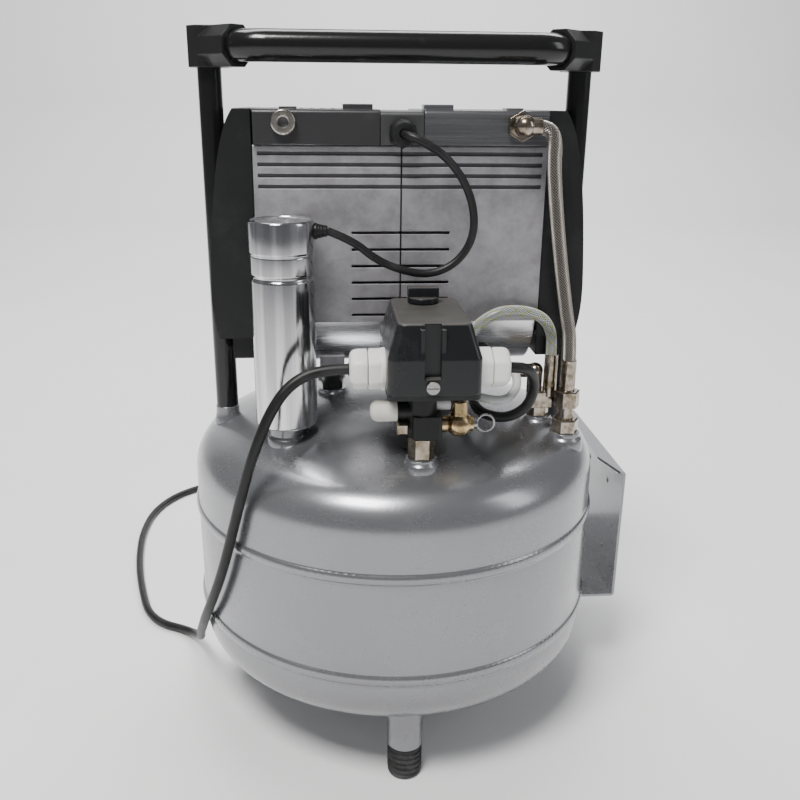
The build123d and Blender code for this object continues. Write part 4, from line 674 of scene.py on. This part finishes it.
plug_steel = Finish("plug_steel", (0.45, 0.42, 0.38), 0.30, Metallic=1.0)
ringed = plug_steel.at.noise(300.0, 4.0)
plug_steel.feed("Roughness", ringed * 0.2 + 0.16)
plug_steel.relief(ringed, 0.00003, 0.5)
# painted shade: the hex socket inside the plug gets a darker, duller steel than the plug itself, for the shade in the
# hole
socket_shade = Finish("plug_socket_shade", 0.02, 0.6, Metallic=0.5)
socket_shade.feed("Base Color", socket_shade.at.noise(400.0).tint(0.10, 0.22))
plug_body = lathe(rounded(plug_line, 0.35), port_face, (0, -1, 0), 72)
plug_body = (plug_body[0], plug_body[1][:-1])
plug_hole = lathe(socket_line, port_face, (0, -1, 0), 72, six_sided)
plug_hole = (plug_hole[0], plug_hole[1][:-1])
head_plug = shape("head_plug_turned", (plug_steel, plug_body), (socket_shade, plug_hole))
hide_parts("head_plug")

# ---------------------------------------------------------------- end covers and motor
# Bowed covers moulded in black plastic with a fine spark-eroded grain; behind them sit
# the fans, and inside the castings the motor.
moulded = Finish("moulded_cover", 0.02, 0.5, Specular_IOR_Level=0.30)
texture = moulded.at.noise(900.0, 3.0, 0.6)
handled = moulded.at.noise(22.0, 5.0, 0.7).clip(0.45, 0.8)
moulded.feed("Base Color", handled.tint((0.010, 0.0105, 0.011), (0.024, 0.025, 0.026)))
moulded.feed("Roughness", handled * 0.12 + 0.40)
moulded.relief(texture, 0.00010, 0.7, edge=0.0012)
paint(moulded, "end_cover_left", "end_cover_right", "fans", "motor_gland", "switch_base", "switch_contacts")
lamination = Finish("stator_laminations", 0.30, 0.45, Metallic=0.9)
layers = lamination.at.stretched(900, 1, 1).noise(1.0, 1.0)
lamination.feed("Base Color", layers.tint((0.20, 0.20, 0.21), (0.40, 0.40, 0.41)))
lamination.relief(layers, 0.0001, 0.6)
paint(lamination, "stator", "rotor")
enamel = Finish("winding_enamel", (0.45, 0.16, 0.05), 0.3, Metallic=0.6)
strands = enamel.at.stretched(60, 400, 400).noise(3.0, 2.0)
enamel.feed("Base Color", strands.tint((0.28, 0.09, 0.03), (0.62, 0.26, 0.10)))
enamel.relief(strands, 0.0003, 0.9)
paint(enamel, "windings")

# ---------------------------------------------------------------- capacitor
# Drawn aluminium can with a rolled bead under a pressed aluminium lid, and a black rubber
# boot where the motor's lead enters.
drawn = Finish("drawn_aluminium", 0.80, 0.13, Metallic=1.0)
pulled = drawn.at.stretched(34, 34, 1.1).noise(22.0, 5.0, 0.6)
# painted reflection: the broad vertical bands of light and dark in the can's colour stand in for the room mirrored in
# the polished can; the fine drawn lines are the metal's own
reflection_streaks = drawn.at.stretched(9, 9, 0.35).noise(14.0, 2.0, 0.5).clip(0.35, 0.65)
dents = drawn.at.stretched(1, 1, 0.5).noise(26.0, 2.0)
drawn.feed("Base Color", (pulled * 0.4 + reflection_streaks * 0.6).tint((0.36, 0.36, 0.38), (0.86, 0.86, 0.87)))
drawn.feed("Roughness", pulled * 0.16 + 0.07)
drawn.relief(pulled * 0.5 + dents * 2.0, 0.00014, 0.8)
can_at = (*can_spot, 0)
can_line = [(0, can_foot_z), (18.4, can_foot_z), (20.5, 247.9), (20.7, 249.5), (20.7, 346.0), (19.7, 347.4), (19.7, 348.6),
            (20.8, 350.0), (20.8, 361.2), (20.6, 361.8), (20.9, 362.2), (20.9, 363.2), (21.4, 363.9),
            (21.4, 381.8), (21.1, 383.2), (20.2, 384.0), (19.4, 383.9), (18.9, 383.1), (17.0, 382.9), (0, 382.9)]
boot_line = [(5.2, 0), (5.4, 1.5), (4.6, 2.2), (4.6, 3.4), (4.2, 4.0), (4.2, 5.2), (3.7, 5.8), (3.6, 8.0), (2.8, 8.8),
             (2.6, 8.8)]
can_parts = [(drawn, lathe(rounded(can_line, 0.8, 4), can_at, steps=96)),
             (sheath, lathe(rounded(boot_line, 0.3), (-57.6, -65.0, 376.54), (1, 0, 0), 36))]
can = shape("capacitor_drawn", *can_parts, sharp=50)
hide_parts("capacitor_can", "capacitor_cap")
film = Finish("wound_film", (0.7, 0.66, 0.5), 0.4)
film.feed("Base Color", film.at.stretched(1, 1, 60).noise(9.0).tint((0.55, 0.50, 0.36), (0.75, 0.70, 0.55)))
paint(film, "capacitor_element")
paint(drawn, "cylinder_liners")

# The lead from the motor's gland hangs in one loop to the boot.
lead_route = [(0, -52, 436.04), (0, -63, 436.04), (9, -68, 433), (25, -66, 424), (38, -64, 409), (46, -62, 390),
              (46, -61, 370), (35, -61, 354), (17, -62, 347), (-2, -64, 351), (-18, -65, 358), (-33, -65, 370.5),
              (-49, -65, 376.54)]
lead = shape("motor_lead", (sheath, tube(lead_route, 2.6, 24, 3, 1.0)))
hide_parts("capacitor_lead")

# ---------------------------------------------------------------- pressure switch
# Black moulded base and deep cover with a dusty top, a grey-worn turning knob on the deck
# and one screw in front.
hood = Finish("switch_hood", 0.012, 0.34, Specular_IOR_Level=0.38)
up_face = hood.at.node("ShaderNodeNewGeometry", out="Normal").axis("Z").clip(0.3, 0.9)
dust = hood.at.noise(420.0, 6.0, 0.75) * 0.6 + hood.at.noise(60.0, 3.0) * 0.4
smear = hood.at.stretched(1, 1, 0.4).noise(30.0, 5.0, 0.7).clip(0.55, 0.85)
hood.feed("Base Color", (up_face * dust * 0.8 + smear * 0.12).tint((0.010, 0.011, 0.012), (0.16, 0.152, 0.138)))
hood.feed("Roughness", up_face * dust * 0.3 + smear * 0.2 + 0.26)
hood.relief(hood.at.noise(1200.0, 2.0), 0.00005, 0.5, edge=0.0014)
paint(hood, "switch_cover", "switch_knob")

# ---------------------------------------------------------------- cable glands
# White nylon glands, one on each side of the switch: a round flange, a hexagon and a dome
# nut whose six flats run out into its rounded end, with a black seal round the cable.
nylon = Finish("white_nylon", 0.75, 0.38)
yellowed = nylon.at.noise(40.0, 5.0, 0.7).clip(0.45, 0.8)
nylon.feed("Base Color", yellowed.tint((0.84, 0.84, 0.82), (0.68, 0.665, 0.61)))
nylon.feed("Roughness", yellowed * 0.2 + 0.32)
nylon.relief(nylon.at.noise(700.0, 2.0), 0.00004, 0.5)
gland_z = 297.0
gland_y = -108.0


def flatted(angle):
    """Radius factor of a round form with six flats cut on it."""
    return min(1.0, 0.905 * six_sided(angle))


gland_parts = []
for x, side in ((-15.0, -1), (42.0, 1)):
    at = (x, gland_y, gland_z)
    along = (side, 0, 0)
    bore = 3.9
    flange = [(13.5, 0), (13.5, 1.8), (13.2, 2.4), (9.0, 2.5)]
    body_hex = [(12.9, 2.2), (13.3, 2.6), (13.3, 9.4), (12.6, 10.2), (9.0, 10.4)]
    dome_nut = [(10.4, 10.5), (12.9, 10.9), (13.1, 11.8), (13.0, 17.0), (12.4, 19.6), (11.0, 21.2), (8.6, 21.9),
                (bore + 0.9, 22.0), (bore, 21.4), (bore, 16.0)]
    gland_parts.append((nylon, lathe(rounded(flange, 0.6), at, along, 72)))
    gland_parts.append((nylon, lathe(rounded(body_hex, 0.4), at, along, 120, flatted)))
    gland_parts.append((nylon, lathe(rounded(dome_nut, 1.0), at, along, 120, flatted)))
    gland_parts.append((sheath, lathe(rounded([(bore + 0.6, 18), (bore + 0.7, 21.9), (bore - 0.1, 22.6)], 0.3), at,
                                      along, 40)))
glands = shape("glands_turned", *gland_parts)
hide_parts("gland_left", "gland_right")

# ---------------------------------------------------------------- port fittings
# Tarnished nickel-plated brass: nipple, four-way block, side plug, elbow for the signal
# line and the safety valve with its pull; the block is black, the silencer off-white.
paint(nickel, "port_nipple", "side_plug", "hose_tail")
plated = Finish("polished_plate", (0.72, 0.70, 0.66), 0.18, Metallic=1.0)
spotted = plated.at.noise(160.0, 6.0, 0.7)
plated.feed("Base Color", spotted.clip(0.40, 0.62).tint((0.44, 0.39, 0.33), (0.20, 0.16, 0.11)))
plated.feed("Roughness", spotted * 0.22 + 0.10)
plated.relief(plated.at.noise(380.0, 3.0), 0.00003, 0.5, edge=0.0005)
paint(moulded, "port_manifold")
paint(plated, "check_valve", "outlet_tee", "union_nut", "delivery_elbow")
brass = Finish("valve_brass", (0.62, 0.45, 0.22), 0.26, Metallic=1.0)
aged = brass.at.noise(200.0, 5.0, 0.65)
brass.feed("Base Color", aged.clip(0.4, 0.7).tint((0.66, 0.50, 0.27), (0.30, 0.21, 0.11)))
brass.feed("Roughness", aged * 0.25 + 0.14)
brass.relief(brass.at.noise(600.0, 3.0), 0.00004, 0.6, edge=0.0004)
paint(brass, "safety_valve")
sinter = Finish("sintered_plastic", 0.62, 0.7)
pores = sinter.at.noise(1600.0, 3.0, 0.7)
sinter.feed("Base Color", (pores * 0.5 + sinter.at.noise(90.0, 4.0) * 0.5).tint((0.50, 0.47, 0.40), (0.86, 0.84, 0.78)))
sinter.relief(pores, 0.00022, 0.8, edge=0.0008)
paint(sinter, "silencer")

# ---------------------------------------------------------------- hoses
# Pressure hoses under a woven cover: brown-grey steel wire on the delivery hose, white
# yarn with yellow-green tracers on the outlet hose. One tree of nodes winds the flat
# strands both ways round the hose's own line, over and under each other.
def tree_inputs(name, sizes):
    """A geometry tree with a geometry input and one named input for each size."""
    tree = bpy.data.node_groups.new(name, "GeometryNodeTree")
    tree.interface.new_socket("Geometry", in_out="INPUT", socket_type="NodeSocketGeometry")
    for label, value in sizes.items():
        kind = "NodeSocketInt" if isinstance(value, int) else "NodeSocketFloat"
        held = tree.interface.new_socket(label, in_out="INPUT", socket_type=kind)
        held.default_value = value
    tree.interface.new_socket("Material", in_out="INPUT", socket_type="NodeSocketMaterial")
    tree.interface.new_socket("Geometry", in_out="OUTPUT", socket_type="NodeSocketGeometry")
    return tree, Wire(tree, tree.nodes.new("NodeGroupInput").outputs["Geometry"])


def given(start, label):
    """One named input of a geometry tree."""
    return Wire(start.tree, start.socket.node.outputs[label])


def grown(name, source, tree, body="frame", **sizes):
    """Runs a tree on a source object and keeps the result as a plain mesh."""
    live = source.modifiers.new("grown", "NODES")
    live.node_group = tree
    for socket in tree.interface.items_tree:
        if socket.in_out == "INPUT" and socket.name in sizes:
            live[socket.identifier] = sizes[socket.name]
    mesh = bpy.data.meshes.new_from_object(source.evaluated_get(bpy.context.evaluated_depsgraph_get()))
    source.modifiers.remove(live)
    held = source.data
    bpy.data.objects.remove(source)
    (bpy.data.curves if isinstance(held, bpy.types.Curve) else bpy.data.meshes).remove(held)
    mesh.name = name
    made = bpy.data.objects.new(name, mesh)
    bpy.context.scene.collection.objects.link(made)
    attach(made, body)
    return made


weave_tree, weave_start = tree_inputs("woven_cover", {
    "Strands": 12, "Turns": 6.0, "Cover radius": 0.004, "Lift": 0.0001, "Strand width": 0.001,
    "Strand thickness": 0.0001, "Spacing": 0.001, "Tracer every": 50})
weave_tree.interface.new_socket("Tracer material", in_out="INPUT", socket_type="NodeSocketMaterial")


def noted(geometry, domain, **fields):
    """Keeps fields on a geometry, so that they stay as they were when it changes."""
    held = geometry.node("GeometryNodeCaptureAttribute", {"domain": domain}, {"Geometry": geometry})
    node = held.socket.node
    kept = []
    for label, field in fields.items():
        kind = {"VECTOR": "VECTOR", "INT": "INT"}.get(field.socket.type, "FLOAT")
        node.capture_items.new(kind, label)
        geometry.tree.links.new(field.socket, node.inputs[label])
        kept.append(Wire(geometry.tree, node.outputs[label]))
    return held, kept


def vector(first, operation, second):
    """Vector maths of two wires; SCALE takes a number second."""
    return first.node("ShaderNodeVectorMath", {"operation": operation},
                      {0: first, ("Scale" if operation == "SCALE" else 1): second})


evened = weave_start.node("GeometryNodeResampleCurve", {"mode": "LENGTH"},
                          {"Curve": weave_start, "Length": given(weave_start, "Spacing")})
line, (ahead, across, along) = noted(
    evened, "POINT", ahead=evened.node("GeometryNodeInputTangent"), across=evened.node("GeometryNodeInputNormal"),
    along=evened.node("GeometryNodeSplineParameter"))
strands = given(weave_start, "Strands")
lap = along * given(weave_start, "Turns") * math.tau
ribbons = []
for way in (1, -1):
    copied = line.node("GeometryNodeDuplicateElements", {"domain": "SPLINE"}, {"Geometry": line, "Amount": strands})
    number = Wire(weave_tree, copied.socket.node.outputs["Duplicate Index"])
    angle = number / strands * math.tau + lap * way
    r = given(weave_start, "Cover radius") + (lap * strands).through("COSINE") * given(weave_start, "Lift") * way
    outward = vector(vector(across, "SCALE", angle.through("COSINE")), "ADD",
                     vector(vector(ahead, "CROSS_PRODUCT", across), "SCALE", angle.through("SINE")))
    counted, (strand, facing) = noted(copied, "POINT", strand=number, facing=outward)
    wound = counted.node("GeometryNodeSetPosition", {}, {"Geometry": counted, "Offset": vector(facing, "SCALE", r)})
    faced = wound.node("GeometryNodeSetCurveNormal", {"mode": "FREE"}, {"Curve": wound, "Normal": facing})
    flat = faced.node("GeometryNodeCurvePrimitiveQuadrilateral", {"mode": "RECTANGLE"},
                      {"Width": given(weave_start, "Strand width"),
                       "Height": given(weave_start, "Strand thickness")})
    ribbon = faced.node("GeometryNodeCurveToMesh", {}, {"Curve": faced, "Profile Curve": flat, "Fill Caps": True})
    plain = ribbon.node("GeometryNodeSetMaterial", {}, {"Geometry": ribbon, "Material": given(weave_start, "Material")})
    tracer = (strand + way + 1).through("MODULO", given(weave_start, "Tracer every")).through("LESS_THAN", 0.5)
    ribbons.append(plain.node("GeometryNodeSetMaterial", {}, {
        "Geometry": plain, "Selection": tracer, "Material": given(weave_start, "Tracer material")}))
joined = ribbons[0].node("GeometryNodeJoinGeometry", {}, {"Geometry": ribbons[0]})
weave_tree.links.new(ribbons[1].socket, joined.socket.node.inputs["Geometry"])
whole = joined.node("GeometryNodeRealizeInstances", {}, {"Geometry": joined})
weave_tree.links.new(whole.socket, weave_tree.nodes.new("NodeGroupOutput").inputs[0])


wire_grey = Finish("woven_steel", (0.42, 0.38, 0.34), 0.34, Metallic=0.9)
wires = wire_grey.at.noise(1500.0, 4.0, 0.7)
worn_bright = wire_grey.at.noise(50.0, 4.0)
wire_grey.feed("Base Color", (wires * 0.7 + worn_bright * 0.3).tint((0.20, 0.175, 0.155), (0.66, 0.62, 0.57)))
wire_grey.feed("Roughness", wires * 0.3 + 0.20)
wire_grey.relief(wires, 0.00006, 0.7)
under_black = Finish("hose_core", 0.05, 0.6)
under_black.feed("Base Color", under_black.at.noise(300.0).tint((0.05, 0.045, 0.04), (0.12, 0.11, 0.10)))
delivery_route = [(82, -59, 441.04), (92, -59, 441.04), (97.5, -58, 433.54), (98, -56, 413.04), (106, -53, 362.04),
                  (115, -51, 315.04), (119.5, -50, 297.75), (119.5, -50, 268.25)]
core = shape("delivery_core", (under_black, tube(delivery_route, 3.85, 24, 3, 2.0)))
delivery_weave = grown("delivery_weave", spline("delivery_line", metres(delivery_route), 0.0), weave_tree, **{
    "Strands": 14, "Turns": 7.0, "Cover radius": 0.0040, "Lift": 0.00007, "Strand width": 0.00135,
    "Strand thickness": 0.00012, "Spacing": 0.0012, "Tracer every": 90, "Material": wire_grey.mat,
    "Tracer material": wire_grey.mat})
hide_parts("delivery_hose")

# white yarn over a clear wall
yarn = Finish("white_yarn", 0.7, 0.55)
fibres = yarn.at.noise(1800.0, 3.0, 0.7)
yarn.feed("Base Color", fibres.tint((0.50, 0.53, 0.55), (0.86, 0.88, 0.88)))
yarn.relief(fibres, 0.00008, 0.8)
tracer_yarn = Finish("tracer_yarn", (0.62, 0.66, 0.18), 0.55)
tracer_yarn.feed("Base Color", tracer_yarn.at.noise(1800.0, 3.0).tint((0.45, 0.47, 0.04), (0.78, 0.80, 0.12)))
clear_wall = Finish("clear_wall", 0.4, 0.22, Coat_Weight=0.5)
clear_wall.feed("Base Color", clear_wall.at.noise(120.0).tint((0.08, 0.095, 0.10), (0.15, 0.17, 0.18)))
outlet_route = [(109.5, -38.5, 263.4), (109.5, -38.5, 293.4), (105.5, -44.5, 306.4), (97, -50, 316.4),
                (82, -51, 320.4), (67, -51, 319.4), (54, -51, 311.4), (44, -51, 298.4), (36, -52, 284.4),
                (27, -57, 271.4), (18, -65, 262.4), (12, -75, 260.4), (12, -93.5, 260.4)]
outlet_core = shape("outlet_core", (clear_wall, tube(outlet_route, 3.45, 24, 3, 1.6)))
outlet_weave = grown("outlet_weave", spline("outlet_line", metres(outlet_route), 0.0), weave_tree, **{
    "Strands": 14, "Turns": 6.5, "Cover radius": 0.00358, "Lift": 0.00006, "Strand width": 0.00046,
    "Strand thickness": 0.00014, "Spacing": 0.0012, "Tracer every": 5, "Material": yarn.mat,
    "Tracer material": tracer_yarn.mat})
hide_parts("outlet_hose")

# ---------------------------------------------------------------- signal line and motor cable
# Translucent grey nylon tube from the tee back to the switch's elbow, and the motor's
# black cable, which loops over the receiver and up through its grommet.
nylon_tube = Finish("signal_nylon", 0.5, 0.28)
milky = nylon_tube.at.noise(150.0, 4.0)
nylon_tube.feed("Base Color", milky.tint((0.42, 0.43, 0.42), (0.66, 0.67, 0.66)))
nylon_tube.feed("Roughness", milky * 0.2 + 0.2)
signal_route = [(23, -103, 273.5), (23, -91, 273.5), (30, -85, 273), (45, -86, 271.5), (58, -90, 268.5),
                (69, -88, 268.5), (77, -79, 274.5), (78, -66, 280.5), (75, -53, 280.5), (75, -44, 275.5),
                (79, -35, 272.4), (91, -35, 272.4)]
signal_line = shape("signal_line", (nylon_tube, tube(signal_route, 3.0, 20, 3, 1.0)))
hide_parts("signal_tube")
paint(nylon_tube, "signal_elbow")

cable_route = [(44, -108, 297), (68, -108, 297), (78, -103, 294), (85, -93, 283), (85, -88, 269), (79, -86, 259),
               (67, -85, 254), (53, -80, 256), (49, -64, 259), (53, -47, 264), (60, -28.4, 280.6),
               (60, -16.4, 292.6)]
grommet = [(5.0, -3.0), (6.4, -2.6), (6.4, 0.4), (5.2, 0.9), (5.2, 2.0), (6.4, 2.5), (6.4, 3.6), (4.4, 4.2)]
cable = shape("motor_cable_run", (sheath, tube(cable_route, 3.5, 24, 3, 1.2)),
              (rubber, lathe(rounded(grommet, 0.4), (60, -20.7, 288.4), (0, -0.7071, -0.7071), 40)))
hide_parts("motor_cable")
